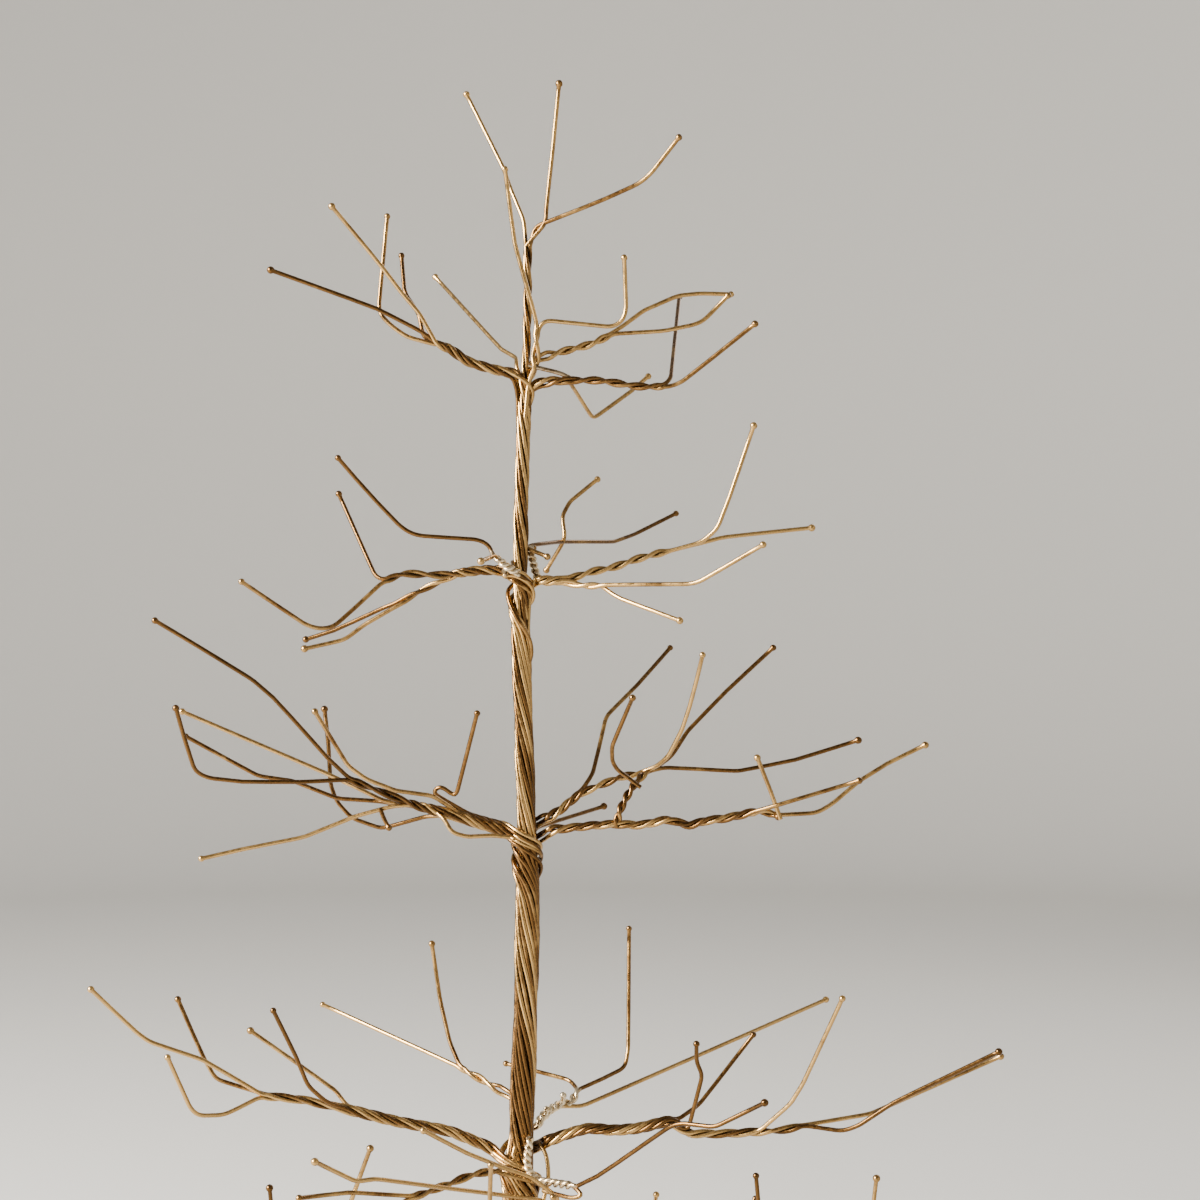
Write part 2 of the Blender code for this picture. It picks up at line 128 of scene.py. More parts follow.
CROWN_BRANCHES = (
    BranchPlan(
        "crown",
        Tier.CROWN,
        (),
        (
            Twig(1, ((0, 2, 6), (-7, 8, 23), (-9, 10, 30), (-27, 20, 67))),
            Twig(1, ((6, -2, 0), (10, -3, 4), (10, -3, 10), (13, -5, 36), (16, -10, 65))),
            Twig(1, ((5, -1, 3), (12, -4, 5), (35, -10, 13), (52, -14, 20), (57, -16, 24), (69, -20, 39))),
        ),
    ),
)

TIER_2_BRANCHES = (
    BranchPlan(
        "left_branch_2",
        Tier.SECOND,
        ((0, 0, -2), (-10, -3, -1), (-25, -5, 3), (-33, -6, 9), (-39, -8, 11)),
        (
            Twig(1, ((-45, -9, 16), (-65, -13, 26), (-111, -20, 42))),
            Twig(0.97, ((-52, -7, 14), (-59, -6, 19), (-64, -5, 24), (-65, -4, 28), (-62, 5, 70))),
            Twig(1, ((-46, -10, 24), (-54, -11, 33), (-63, -14, 45), (-84, -20, 70))),
            Twig(0.9, ((-45, -6, 14), (-47, -1, 25), (-54, 3, 35), (-56, 10, 53))),
        ),
        Hand.RIGHT,
        26.0,
    ),
    BranchPlan(
        "rear_twig_2",
        Tier.SECOND,
        ((0, 0, 3), (-11, 14, 11)),
        (Twig(1, ((-45, 70, 52),)),),
    ),
    BranchPlan(
        "upright_branch_2",
        Tier.SECOND,
        ((0, 0, -8), (5, -4, -4), (6, -4, 20)),
        (
            Twig(1, ((4, -6, 28), (1, -7, 38), (-4, -8, 56), (-7, -10, 80), (-8, -12, 88))),
            Twig(0.93, ((9, -4, 22), (40, -6, 18.5), (44.5, -7, 21), (46, -7, 26), (45, -10, 49))),
        ),
        lay=24.0,
    ),
    BranchPlan(
        "upper_right_branch_2",
        Tier.SECOND,
        ((0, 0, 4), (8, 2, 6), (18, 4, 9), (30, 5, 12), (40, 6, 17)),
        (
            Twig(0.96, ((45, 8, 21), (54, 9, 28), (70, 10, 35), (80, 11, 36), (94, 14, 36))),
            Twig(1, ((63, 4, 18), (78, 3, 21), (81, 3, 22.5), (92, 4, 34))),
        ),
    ),
    BranchPlan(
        "lower_right_branch_2",
        Tier.SECOND,
        ((0, 0, -6), (17, -2, -5), (34, -4, -5), (51, -5, -8), (66, -6, -8)),
        (
            Twig(1, ((71, -7, -6), (103, -14, 19))),
            Twig(0.95, ((66, -2, -4), (72, 60, 41))),
            Twig(0.3, ((24, 10, -10), (31, 25, -20), (51, 42, -4), (57, 48, 2))),
        ),
        lay=20.0,
    ),
)

TIER_3_BRANCHES = (
    BranchPlan(
        "left_branch_3",
        Tier.THIRD,
        ((0, 0, 2), (-19, -1, 2.5), (-37, -4, 0), (-54, -6, 1), (-63, -8, -3)),
        (
            Twig(1, ((-70, -10, -10), (-84, -14, -23), (-90, -15, -24), (-96, -17, -22), (-123, -25, -3))),
            Twig(0.98, ((-66, -6, -1), (-84, 6, 37))),
            Twig(0.45, ((-33, 0, 0.4), (-38, 2, -2.8), (-43, 2, -6.2), (-48, 2, -7.4), (-53, 3.6, -9.2),
                        (-58, 5.6, -12.4), (-64, 8, -14.5), (-76, 10, -20), (-87, 12, -25), (-100, 14, -29))),
            Twig(0.45, ((-33, 0, -1.8), (-38, -0.2, -2.8), (-43, 2, -3.9), (-48, 4.2, -7.4),
                        (-53, 3.6, -11.6),
                        (-58, 2.8, -14), (-72, 4, -22), (-81, 3, -29), (-90, 2, -31), (-99, 2, -33))),
        ),
        Hand.RIGHT,
        24.0,
    ),
    BranchPlan(
        "upper_left_branch_3",
        Tier.THIRD,
        ((0, 0, 0), (-2, -8, 1), (-8, -11, 4), (-14, -10, 10)),
        (
            Twig(1, ((-15, -9, 13.5), (-20, -9, 16), (-46, -11, 17.5), (-51, -11, 19), (-56, -11, 23),
                     (-70, -13, 38), (-82, -14, 52))),
            Twig(0.9, ((-13, -14, 8.5), (-18, -25, 6))),
        ),
        Hand.LEFT,
        5.5,
        soldered=1.0,
    ),
    BranchPlan(
        "trunk",
        Tier.THIRD,
        ((2.5, 3.0, 13), (3.6, 4.2, 8), (4.8, 4.6, 2), (6.5, 3.0, -3), (9.5, 1.5, -3)),
        (Twig(1, ((10.5, 1.0, -2.5),), Tip.CUT), Twig(1, ((11.0, 0.5, -3.5),), Tip.CUT)),
        Hand.LEFT,
        5.5,
        rooted=False,
        soldered=0.8,
    ),
    BranchPlan(
        "trunk",
        Tier.THIRD,
        ((-8.5, -8.0, 1), (-5, -1, 5), (-3, 3, 6.5)),
        (Twig(1, ((-2, 3.5, 7),), Tip.CUT), Twig(1, ((-2, 3.0, 6),), Tip.CUT)),
        Hand.LEFT,
        9.0,
        rooted=False,
        soldered=0.3,
    ),
    BranchPlan(
        "right_branch_3",
        Tier.THIRD,
        ((0, 0, -1), (12, -1, -2.5), (19, -1, -2), (31, 1, 2), (40, 2, 3.5), (49, 3, 7), (60, 4, 10),
         (65, 4, 11)),
        (
            Twig(1, ((80, 1, 15), (87, -1, 21), (93, -3, 37), (103, -6, 67))),
            Twig(1, ((81, 6, 15), (90, 8, 17.5), (131, 16, 22))),
            Twig(0.28, ((22, -3, -2.6), (26.5, -3.8, -4.7), (31, -7, -5.8), (35, -10.2, -4.2),
                        (40, -11.5, -4.2), (74, -22, -4), (78, -24, -3), (105, -35, 13))),
            Twig(0.28, ((22, -3, -5), (26.5, -6.2, -4.7), (31, -7, -3.4), (35, -7.8, -4.6), (40, -11, -8.6),
                        (45, -15, -11.2), (57, -24, -15.5), (69, -30, -20))),
        ),
        lay=20.0,
    ),
    BranchPlan(
        "rear_branch_3",
        Tier.THIRD,
        ((0, 0, 13), (7, 12, 14.5)),
        (Twig(1, ((15, 30, 16), (41, 70, 17), (51, 84, 21), (72, 105, 32))),),
    ),
)

TIER_4_BRANCHES = (
    BranchPlan(
        "left_branch_4",
        Tier.FOURTH,
        ((0, 0, 0), (-9, -1, 3), (-29, -3, 9), (-48, -6, 14), (-55, -7, 17), (-70, -9, 23), (-77, -10, 26)),
        (
            Twig(1, ((-87, -13, 36), (-97, -16, 48), (-110, -19, 63), (-119, -21, 71), (-140, -26, 84.5),
                     (-160, -30, 97))),
            Twig(1, ((-81, -12, 26), (-97, -17, 25.5), (-123, -23, 26), (-138, -26, 28), (-143, -28, 31),
                     (-146, -31, 42), (-150, -35, 59))),
            Twig(0.55, ((-63, 0, 15.5), (-84, -1, 26), (-153, -4, 56))),
            Twig(0.6, ((-67, 6, 15), (-85, 7, 16), (-95, 7, 20), (-105, 8, 24), (-121, 9, 26),
                       (-154, 10, 44))),
            Twig(0.4, ((-40, -12, 19), (-56, -17, 21.5), (-69, -20, 27), (-77, -21, 33), (-84, -22, 45),
                       (-91, -24, 57))),
            Twig(0.38, ((-45, 6, 8), (-65, 10, 2), (-79, 13, 6.5), (-86, 14, 14), (-89, 15, 22),
                        (-90, 16, 41), (-92, 18, 56))),
            Twig(0.65, ((-58, -6, 14), (-76, -5, 9), (-98, -7, 0), (-125, -10, -5), (-143, -12, -9))),
            Twig(0.33, ((-41, -7, 20), (-37, -9, 23.5), (-30, -10, 18), (-20, -20, 56))),
        ),
        Hand.RIGHT,
        36.0,
    ),
    BranchPlan(
        "right_branch_4",
        Tier.FOURTH,
        ((0, 0, -2), (12, -1, 2.5), (28, -2, 4.5), (40, -3, 5.5), (53, -4, 5), (65, -5, 8), (75, -6, 4.5),
         (79, -6, 7), (91, -7, 8.5), (105, -8, 12), (113, -9, 10)),
        (
            Twig(1, ((113.5, -11, 9.5),)),
            Twig(1, ((131, -9, 11), (138, -8, 15), (150, -6, 25), (164, -5, 33.5), (180, -4, 41))),
            Twig(0.9, ((113, -14, 15), (149, -16, 26))),
        ),
        lay=24.0,
    ),
    BranchPlan(
        "upper_right_branch_4",
        Tier.FOURTH,
        ((0, 0, 4), (15, 3, 10), (25, 5, 18.5), (34, 6, 22), (44, 7, 26), (54, 8, 27.5), (60, 9, 30)),
        (
            Twig(0.45, ((31, 12, 27), (34, 24, 39), (37, 32, 52), (52, 50, 66), (68, 70, 83))),
            Twig(0.9, ((60, 3, 31), (65, -3, 36), (71, -12, 49), (75, -20, 63), (79, -30, 82))),
            Twig(1, ((67, 12, 35), (74, 15, 46), (93, 20, 65), (114, 24, 84))),
        ),
        lay=19.0,
    ),
    BranchPlan(
        "upper_right_branch_4",
        Tier.FOURTH,
        ((41.5, -3, 4.5), (42.5, -6, 10), (44, -5, 14), (48, -2, 21), (51, 1, 25), (56, 6, 28.5)),
        (
            Twig(1, ((64, 9, 30), (97, 12, 28), (123, 13, 33), (152, 14, 42))),
            Twig(1, ((60, 8, 31), (64, 10, 33)), Tip.CUT),
        ),
        lay=12.0,
        rooted=False,
    ),
    BranchPlan(
        "rear_twig_4",
        Tier.FOURTH,
        ((0, 0, 2), (8, 10, 3.5)),
        (Twig(1, ((36, 45, 9),)),),
    ),
)

TIER_5_BRANCHES = (
    BranchPlan(
        "left_branch_5",
        Tier.FIFTH,
        ((0, 0, -5), (-19, -1, 3.5), (-33, -4, 10), (-57, -7, 15), (-77, -9, 20.5), (-99, -12, 26),
         (-116, -14, 28)),
        (
            Twig(1, ((-118, -14, 30), (-141, -19, 45), (-164, -24, 54), (-170, -25, 59), (-188, -30, 78))),
            Twig(0.98, ((-137, -10, 34.5), (-143, -8, 44), (-155, -4, 69))),
            Twig(1, ((-126, -20, 23.5), (-131, -25, 22), (-141, -31, 23), (-144, -32, 26), (-153, -38, 50))),
            Twig(0.68, ((-84, -4, 28), (-124, 6, 53))),
            Twig(0.7, ((-87, -14, 25), (-95, -17, 33), (-100, -20, 47), (-109, -26, 68))),
        ),
        Hand.RIGHT,
        36.0,
    ),
    BranchPlan(
        "upper_left_branch_5",
        Tier.FIFTH,
        ((0, 0, 22), (-8, 4, 25), (-31, 20, 34)),
        (
            Twig(1, ((-98, 60, 55),)),
            Twig(0.97, ((-35, 24, 44), (-40, 30, 63), (-44, 34, 88))),
        ),
        Hand.RIGHT,
        24.0,
    ),
    BranchPlan(
        "front_wire_5",
        Tier.FIFTH,
        ((0, 0, -46), (13, -12, -30)),
        (Twig(1, ((16, -22, -15), (4, -26, -5), (-6, -32, 0), (-23, -48, 11), (-40, -66, 25))),),
    ),
    BranchPlan(
        "long_front_wire_5",
        Tier.FIFTH,
        ((0, 0, -20), (2, -12, -18)),
        (Twig(1, ((-32, -55, -2), (-58, -90, 11), (-65, -95, 11), (-80, -110, 23))),),
    ),
    BranchPlan(
        "front_left_branch_5",
        Tier.FIFTH,
        ((0, 0, -9), (-10, -14, -5), (-21, -22, -4.5), (-32, -30, -7), (-49, -44, -10)),
        (
            Twig(0.95, ((-72, -62, -2), (-91, -75, -1))),
            Twig(1, ((-62, -56, -16), (-90, -70, -22), (-112, -84, -14))),
        ),
        Hand.LEFT,
        24.0,
    ),
    BranchPlan(
        "rear_right_branch_5",
        Tier.FIFTH,
        ((0, 0, 0), (5.5, 7, 5), (6.5, 10, 12), (10.5, 13.5, 15), (16.5, 18.5, 17.5), (21, 22, 16.5),
         (24, 26, 22)),
        (
            Twig(1, ((35, 34, 25), (46, 41, 29), (47.5, 44, 37), (48, 55, 92))),
            Twig(1, ((20, 33, 25), (4, 38, 28), (-10, 45, 30))),
            Twig(0.72, ((26, 25, 14.5), (36, 31, 17.5), (145, 90, 52))),
        ),
        lay=9.0,
        soldered=1.0,
    ),
    BranchPlan(
        "trunk",
        Tier.FIFTH,
        ((3.0, -7.6, 8), (2.2, -9.2, 3), (1.2, -9.8, -2), (2.8, -10.2, -8), (9.5, -12.5, -12)),
        (Twig(1, ((11, -14, -12),), Tip.CUT), Twig(1, ((11, -13, -13),), Tip.CUT)),
        Hand.LEFT,
        6.0,
        rooted=False,
        soldered=1.0,
    ),
    BranchPlan(
        "right_branch_5",
        Tier.FIFTH,
        ((0, 0, 0), (18, -1, 7.5), (29, -2, 11), (40, -3, 10), (52, -3, 11), (66, -4, 15), (74, -5, 9),
         (89, -5, 9), (103, -6, 10), (116, -7, 11), (125, -8, 13.5)),
        (
            Twig(1, ((142, -13, 12), (149, -15, 15), (164, -18, 26), (209, -26, 50))),
            Twig(1, ((156, -1, 17), (215, 3, 42))),
            Twig(0.85, ((119, -15, 25), (124, -17, 34), (140, -30, 74))),
            Twig(0.55, ((79, 2, 20.5), (104, 12, 50))),
            Twig(0.6, ((77, -9, 25), (80, -11, 37), (77, -12, 42), (77, -14, 51))),
        ),
        lay=30.0,
    ),
    BranchPlan(
        "front_right_branch_5",
        Tier.FIFTH,
        ((0, 0, -14), (9, -14, -10), (24, -30, -8)),
        (
            Twig(1, ((34, -38, -1), (64, -62, 26), (69, -65, 28), (77, -70, 28), (82, -73, 28),
                     (102, -85, 41))),
            Twig(0.96, ((27, -34, -11), (22, -31, -13), (9, -18, -13)), Tip.CUT),
        ),
        lay=8.0,
        soldered=0.7,
    ),
)

TIER_6_BRANCHES = (
    BranchPlan(
        "left_branch_6",
        Tier.SIXTH,
        ((0, 0, -4), (-22, -1, 6), (-60, -4, 17), (-100, -8, 30), (-128, -10, 33)),
        (
            Twig(1, ((-158, -17, 60), (-180, -21, 78), (-204, -26, 96))),
            Twig(1, ((-160, -3, 36), (-186, 1, 42), (-214, 6, 66))),
            Twig(0.97, ((-152, -27, 29), (-160, -31, 34), (-172, -38, 50))),
            Twig(0.7, ((-104, -14, 50), (-109, -12, 90), (-113, -10, 126))),
            Twig(0.8, ((-130, 8, 52), (-139, 13, 70), (-146, 18, 92))),
        ),
        Hand.RIGHT,
        36.0,
    ),
    BranchPlan(
        "rear_left_branch_6",
        Tier.SIXTH,
        ((0, 0, 16), (-16, 22, 26), (-38, 52, 38)),
        (
            Twig(1, ((-62, 78, 54), (-78, 92, 70), (-96, 108, 80))),
            Twig(0.95, ((-44, 68, 62), (-45, 80, 90))),
        ),
        Hand.RIGHT,
        22.0,
    ),
    BranchPlan(
        "front_left_branch_6",
        Tier.SIXTH,
        ((0, 0, 28), (-14, -20, 38), (-30, -46, 48)),
        (
            Twig(1, ((-48, -54, 66), (-70, -57, 92), (-79, -59, 112), (-63, -60, 156))),
            Twig(0.95, ((-64, -80, 62), (-82, -98, 72), (-100, -112, 92))),
            Twig(1, ((-14, -64, 72), (-11, -80, 154))),
        ),
        Hand.RIGHT,
        24.0,
    ),
    BranchPlan(
        "rear_right_branch_6",
        Tier.SIXTH,
        ((0, 0, 6), (20, 22, 18), (46, 50, 32)),
        (
            Twig(0.95, ((54, 36, 62), (60, 20, 115))),
            Twig(1, ((74, 82, 52), (92, 98, 66), (112, 114, 88))),
            Twig(1, ((54, 84, 40), (58, 106, 46), (62, 128, 62))),
        ),
        lay=24.0,
    ),
    BranchPlan(
        "right_branch_6",
        Tier.SIXTH,
        ((0, 0, 0), (20, -1, 9), (62, -4, 17), (96, -6, 22), (134, -9, 32)),
        (
            Twig(1, ((180, -17, 54), (202, -21, 66), (224, -24, 84))),
            Twig(1, ((168, 2, 34), (190, 10, 37), (232, 18, 58))),
            Twig(0.96, ((148, -6, 66), (154, -5, 96), (158, -5, 129))),
            Twig(0.7, ((110, -12, 52), (107, -16, 92), (103, -20, 134))),
        ),
        lay=30.0,
    ),
    BranchPlan(
        "front_right_branch_6",
        Tier.SIXTH,
        ((0, 0, -6), (16, -22, 8), (36, -50, 22)),
        (
            Twig(0.95, ((26, -48, 60), (18, -44, 96), (14, -40, 130))),
            Twig(1, ((60, -84, 46), (78, -102, 60), (96, -120, 82))),
            Twig(1, ((70, -68, 26), (98, -80, 34), (126, -92, 50))),
        ),
        lay=24.0,
    ),
)

# Wires that are hooked over a branch, bridge two of them or are wound over the trunk
LOOSE_WIRES = (
    LooseWire(
        "rear_branch_3",
        Tier.THIRD,
        ((9, 45, 3), (16, 34, 14), (18, 31.5, 18), (16.5, 36, 28), (20, 40, 35), (33, 50, 46)),
    ),
    LooseWire("rear_branch_3", Tier.THIRD, ((4, 5.5, 12.5), (0, 3, 13), (2, 0.5, 12), (10.5, 0, 8.5))),
    LooseWire(
        "trunk",
        Tier.THIRD,
        ((-8.1, -5, 0), (-5, -5.6, 0.3), (-1, -6.2, -1.2), (2, -4.9, -3.2), (4.4, -1.8, -7),
         (4.2, 0.5, -11), (1.5, 1.5, -14)),
        Tip.BALL,
        Tip.CUT,
    ),
    LooseWire(
        "trunk",
        Tier.THIRD,
        ((-5, 2.5, -4), (-7.4, 0.8, -6), (-7.4, -1.5, -8.5), (-6.6, -3, -12), (-4.5, -5, -16.5),
         (-1.8, -6, -21), (1, -5.3, -25), (3.2, -3.2, -30), (3.6, -0.5, -36), (0.5, 0.5, -43)),
        Tip.CUT,
        Tip.CUT,
    ),
    LooseWire(
        "trunk",
        Tier.THIRD,
        ((-3.4, -1.2, 1), (-3.2, -2.8, -4), (-2.7, -3.2, -11), (-1.9, -3.4, -19), (-1.1, -1.6, -28)),
        Tip.CUT,
        Tip.CUT,
    ),
    LooseWire(
        "trunk",
        Tier.THIRD,
        ((-1.4, -1.4, 2), (-1.2, -3.3, -4), (-0.6, -3.4, -11), (0.2, -3.2, -19), (0.6, -1.4, -28)),
        Tip.CUT,
        Tip.CUT,
    ),
    LooseWire("left_branch_4", Tier.FOURTH, ((-64, -8, 13), (-62, -9, 8), (-60, -9, 4.5)), Tip.CUT),
    LooseWire(
        "left_branch_4",
        Tier.FOURTH,
        ((-40, -5, 12), (-35, -8.5, 8), (-32, -10, 2.5), (-25, -9, 0.3), (-14, -8.5, 1), (-6, -7, 0)),
        Tip.CUT,
        Tip.CUT,
    ),
    LooseWire(
        "right_branch_4", Tier.FOURTH, ((114.5, -12.5, 8.5), (109, -13, 23.8), (104, -14, 36)), Tip.CUT
    ),
    LooseWire(
        "upper_right_branch_4",
        Tier.FOURTH,
        ((52.5, -5, 22), (48, -4, 25.4), (41.7, -2, 29.9), (39.6, -6, 34), (39.5, -12, 41), (48.5, -24, 63)),
        Tip.CUT,
    ),
    LooseWire(
        "lower_right_branch_2",
        Tier.SECOND,
        ((2, -4, 1.8), (5.3, -4, 0.8), (12, -3.5, -0.6), (16.7, -3, -1.8), (20.5, -2, -3.6)),
        Tip.CUT,
        Tip.CUT,
        0.35,
    ),
    LooseWire(
        "rear_right_branch_5", Tier.FIFTH, ((9.5, 12, 13), (10.2, 11, 15), (10, 10, 16.5)), soldered=1.0
    ),
    LooseWire(
        "rear_right_branch_5", Tier.FIFTH, ((17, 18, 18), (17.6, 16.5, 20), (17.4, 16, 21.5)), soldered=1.0
    ),
    LooseWire(
        "trunk",
        Tier.FIFTH,
        ((7.0, 1.0, 3), (9.6, -1, 0), (10.8, -3, -5), (11.2, -4.5, -10), (10.4, -6, -15), (8.4, -7, -22)),
        Tip.CUT,
        Tip.CUT,
    ),
)


@dataclass(frozen=True)
class Gauge:
    """The drawn wire: its size, how finely it is modelled and the ball that its melted tip makes, in mm."""

    radius: float = 1.0
    ball: float = 1.6
    ball_spread: float = 0.12
    sides: int = 12
    ball_rings: int = 6
    ball_pole: float = 0.35
    step: float = 1.5
    straight_step: float = 12.0
    least_turn: float = math.radians(2.5)


@dataclass
class Ring:
    """One ring of a wire's skin."""

    matrix: Matrix
    inward: Vector
    solder: float = 0.0


@dataclass
class Line:
    """The centre line of a wire, in metres, with the way to the middle of the bundle at each point.

    A point's freedom is 0 where the bundle holds it in place and 1 where its bends are rounded off. Its
    solder is 1 where solder whitens it.
    """

    points: list[Vector] = field(default_factory=list)
    inward: list[Vector] = field(default_factory=list)
    freedom: list[float] = field(default_factory=list)
    solder: list[float] = field(default_factory=list)

    def add(self, point: Vector, inward: Vector, freedom: float, solder: float = 0.0) -> None:
        """Adds one point."""
        self.points.append(point)
        self.inward.append(inward)
        self.freedom.append(freedom)
        self.solder.append(solder)

    def drop(self) -> None:
        """Takes the last point off."""
        for values in (self.points, self.inward, self.freedom, self.solder):
            values.pop()

    def add_free(self, bends: Sequence[Vector], step: float) -> None:
        """Runs on from the last point through bends, as a free wire.

        Args:
            bends: The bends to run through.
            step: The space between the points, in metres.
        """
        for bend in bends:
            start = self.points[-1].copy()
            count = max(1, round((bend - start).length / step))
            for i in range(1, count + 1):
                self.add(start.lerp(bend, i / count), Vector(), 1.0)

    def relax(self, rounds: int) -> None:
        """Rounds the bends off, as a wire bent over a finger is.

        Args:
            rounds: How many times each point moves halfway to its neighbours' middle.
        """
        for _ in range(rounds):
            moved = [
                here.lerp((before + after) / 2, freedom / 2)
                for before, here, after, freedom in zip(
                    self.points, self.points[1:], self.points[2:], self.freedom[1:]
                )
            ]
            self.points[1:-1] = moved

    def thinned(self, gauge: Gauge) -> "Line":
        """Leaves out the points that a straight stretch doesn't need.

        Args:
            gauge: The wire, which says how far apart points may be.

        Returns:
            The line with fewer points.
        """
        kept = Line()
        kept.add(self.points[0], self.inward[0], self.freedom[0], self.solder[0])
        for i in range(1, len(self.points) - 1):
            here = self.points[i]
            turn = (here - kept.points[-1]).angle(self.points[i + 1] - here, 0.0)
            far = (here - kept.points[-1]).length > gauge.straight_step * MM
            if turn > gauge.least_turn or far:
                kept.add(here, self.inward[i], self.freedom[i], self.solder[i])
        kept.add(self.points[-1], self.inward[-1], self.freedom[-1], self.solder[-1])
        return kept


def smooth(share: float) -> float:
    """An even start and an even end between 0 and 1."""
    share = min(1.0, max(0.0, share))
    return share * share * (3 - 2 * share)


def direction(angle: float) -> Vector:
    """The level direction at an angle from +X."""
    return Vector((math.cos(angle), math.sin(angle), 0))


def apart(one: float, other: float) -> float:
    """The angle between two directions, from 0 to half a turn."""
    return abs(math.remainder(one - other, math.tau))


def frames(points: Sequence[Vector]) -> list[Matrix]:
    """Square stations along a line that turn as little as they can.

    Args:
        points: The line's points.

    Returns:
        For each point, its place with local +Z along the line.
    """
    directions = [(b - a).normalized() for a, b in zip(points, points[1:])]
    square = directions[0].to_track_quat("Z", "Y")
    heading = directions[0]
    found = []
    for i, point in enumerate(points):
        before = directions[max(i - 1, 0)]
        after = directions[min(i, len(directions) - 1)]
        middle = (before + after).normalized()
        square = heading.rotation_difference(middle) @ square
        heading = middle
        found.append(Matrix.Translation(point) @ square.to_matrix().to_4x4())
    return found


@dataclass
class Path:
    """A line that can be asked for the station at any distance along it."""

    points: list[Vector]

    def __post_init__(self) -> None:
        """Measures the line."""
        self.stations = frames(self.points)
        self.lengths = [0.0]
        for a, b in zip(self.points, self.points[1:]):
            self.lengths.append(self.lengths[-1] + (b - a).length)

    @property
    def length(self) -> float:
        """The whole length."""
        return self.lengths[-1]

    def at(self, along: float) -> Matrix:
        """The station at a distance.

        Args:
            along: The distance from the start, in metres.

        Returns:
            The place there, with local +Z along the line.
        """
        along = min(max(along, 0.0), self.length)
        last = len(self.lengths) - 2
        i = next((k for k, end in enumerate(self.lengths[1:]) if along <= end), last)
        share = (along - self.lengths[i]) / max(self.lengths[i + 1] - self.lengths[i], TINY)
        return self.stations[i].lerp(self.stations[i + 1], share)


def rounded(bends: Sequence[Vector], step: float, rounds: int) -> list[Vector]:
    """A smooth line through a few bends.

    Args:
        bends: The bends.
        step: The space between the line's points, in metres.
        rounds: How much the bends are rounded off.

    Returns:
        The line's points.
    """
    line = Line()
    line.add(bends[0], Vector(), 1.0)
    line.add_free(bends[1:], step)
    line.relax(rounds)
    return line.points


@dataclass
class Wire:
    """One wire's skin, swept along its centre line."""

    line: Line
    gauge: Gauge
    tone: float
    start: Tip = Tip.CUT
    end: Tip = Tip.BALL
    ball_size: float = 1.0

    def rings(self) -> list[Ring]:
        """The rings of the skin, with a ball's rings at each end that has one.

        Returns:
            The rings from start to end.
        """
        line = self.line.thinned(self.gauge)
        stations = frames(line.points)
        radius = self.gauge.radius * MM
        rings = [
            Ring(station @ Matrix.Scale(radius, 4), inward, solder)
            for station, inward, solder in zip(stations, line.inward, line.solder)
        ]
        if self.end is Tip.BALL:
            rings = rings[:-1] + self.ball(stations[-1], line.solder[-1])
        if self.start is Tip.BALL:
            mirrored = stations[0] @ Matrix.Scale(-1, 4, (0, 0, 1))
            rings = self.ball(mirrored, line.solder[0])[::-1] + rings[1:]
        return rings

    def ball(self, station: Matrix, solder: float) -> list[Ring]:
        """The rings of a melted ball.

        Args:
            station: The ball's centre, with local +Z away from the wire.
            solder: How much solder whitens it.

        Returns:
            The rings from the wire to the pole.
        """
        size = self.gauge.ball * self.ball_size * MM
        neck = math.asin(self.gauge.radius * MM / size)
        rings = []
        for i in range(self.gauge.ball_rings + 1):
            turn = neck + (math.pi - neck) * i / (self.gauge.ball_rings + self.gauge.ball_pole)
            centre = station @ Matrix.Translation((0, 0, -size * math.cos(turn)))
            rings.append(Ring(centre @ Matrix.Scale(size * math.sin(turn), 4), Vector(), solder))
        return rings


def swept(rings: Sequence[Ring], gauge: Gauge, tone: float) -> bpy.types.Mesh:
    """The closed skin over a row of rings.

    Args:
        rings: The rings from start to end.
        gauge: The wire.
        tone: How light or dark the wire came out of its patina, from 0 to 1.

    Returns:
        The mesh, with the attributes patina, tone and solder; patina holds patina and painted shade, higher
        on the side that faces the bundle's middle.
    """
    mesh = bmesh.new()
    patina = mesh.verts.layers.float.new("patina")
    tones = mesh.verts.layers.float.new("tone")
    solder = mesh.verts.layers.float.new("solder")
    ring = bmesh.ops.create_circle(mesh, segments=gauge.sides, radius=1, cap_ends=True)["verts"]
    bmesh.ops.transform(mesh, matrix=rings[0].matrix, verts=ring)
    edges = list(mesh.edges)
    rows = [ring]
    for old, new in zip(rings, rings[1:]):
        grown = bmesh.ops.extrude_edge_only(mesh, edges=edges)["geom"]
        moved = [g for g in grown if isinstance(g, bmesh.types.BMVert)]
        edges = [g for g in grown if isinstance(g, bmesh.types.BMEdge)]
        bmesh.ops.transform(mesh, matrix=new.matrix @ old.matrix.inverted(), verts=moved)
        rows.append(moved)
    bmesh.ops.edgeloop_fill(mesh, edges=edges)
    for row, place in zip(rows, rings):
        centre = place.matrix.translation
        for vert in row:
            # Patina and painted shade: the side of a wire that faces the middle of its bundle is darkened,
            # where the wires touch and shade falls.
            facing = (vert.co - centre).normalized().dot(place.inward)
            vert[patina] = place.inward.length * (0.5 + 0.5 * facing)
            vert[tones] = tone
            vert[solder] = place.solder
    bmesh.ops.recalc_face_normals(mesh, faces=mesh.faces)
    skin = bpy.data.meshes.new("wire")
    mesh.to_mesh(skin)
    mesh.free()
    return skin


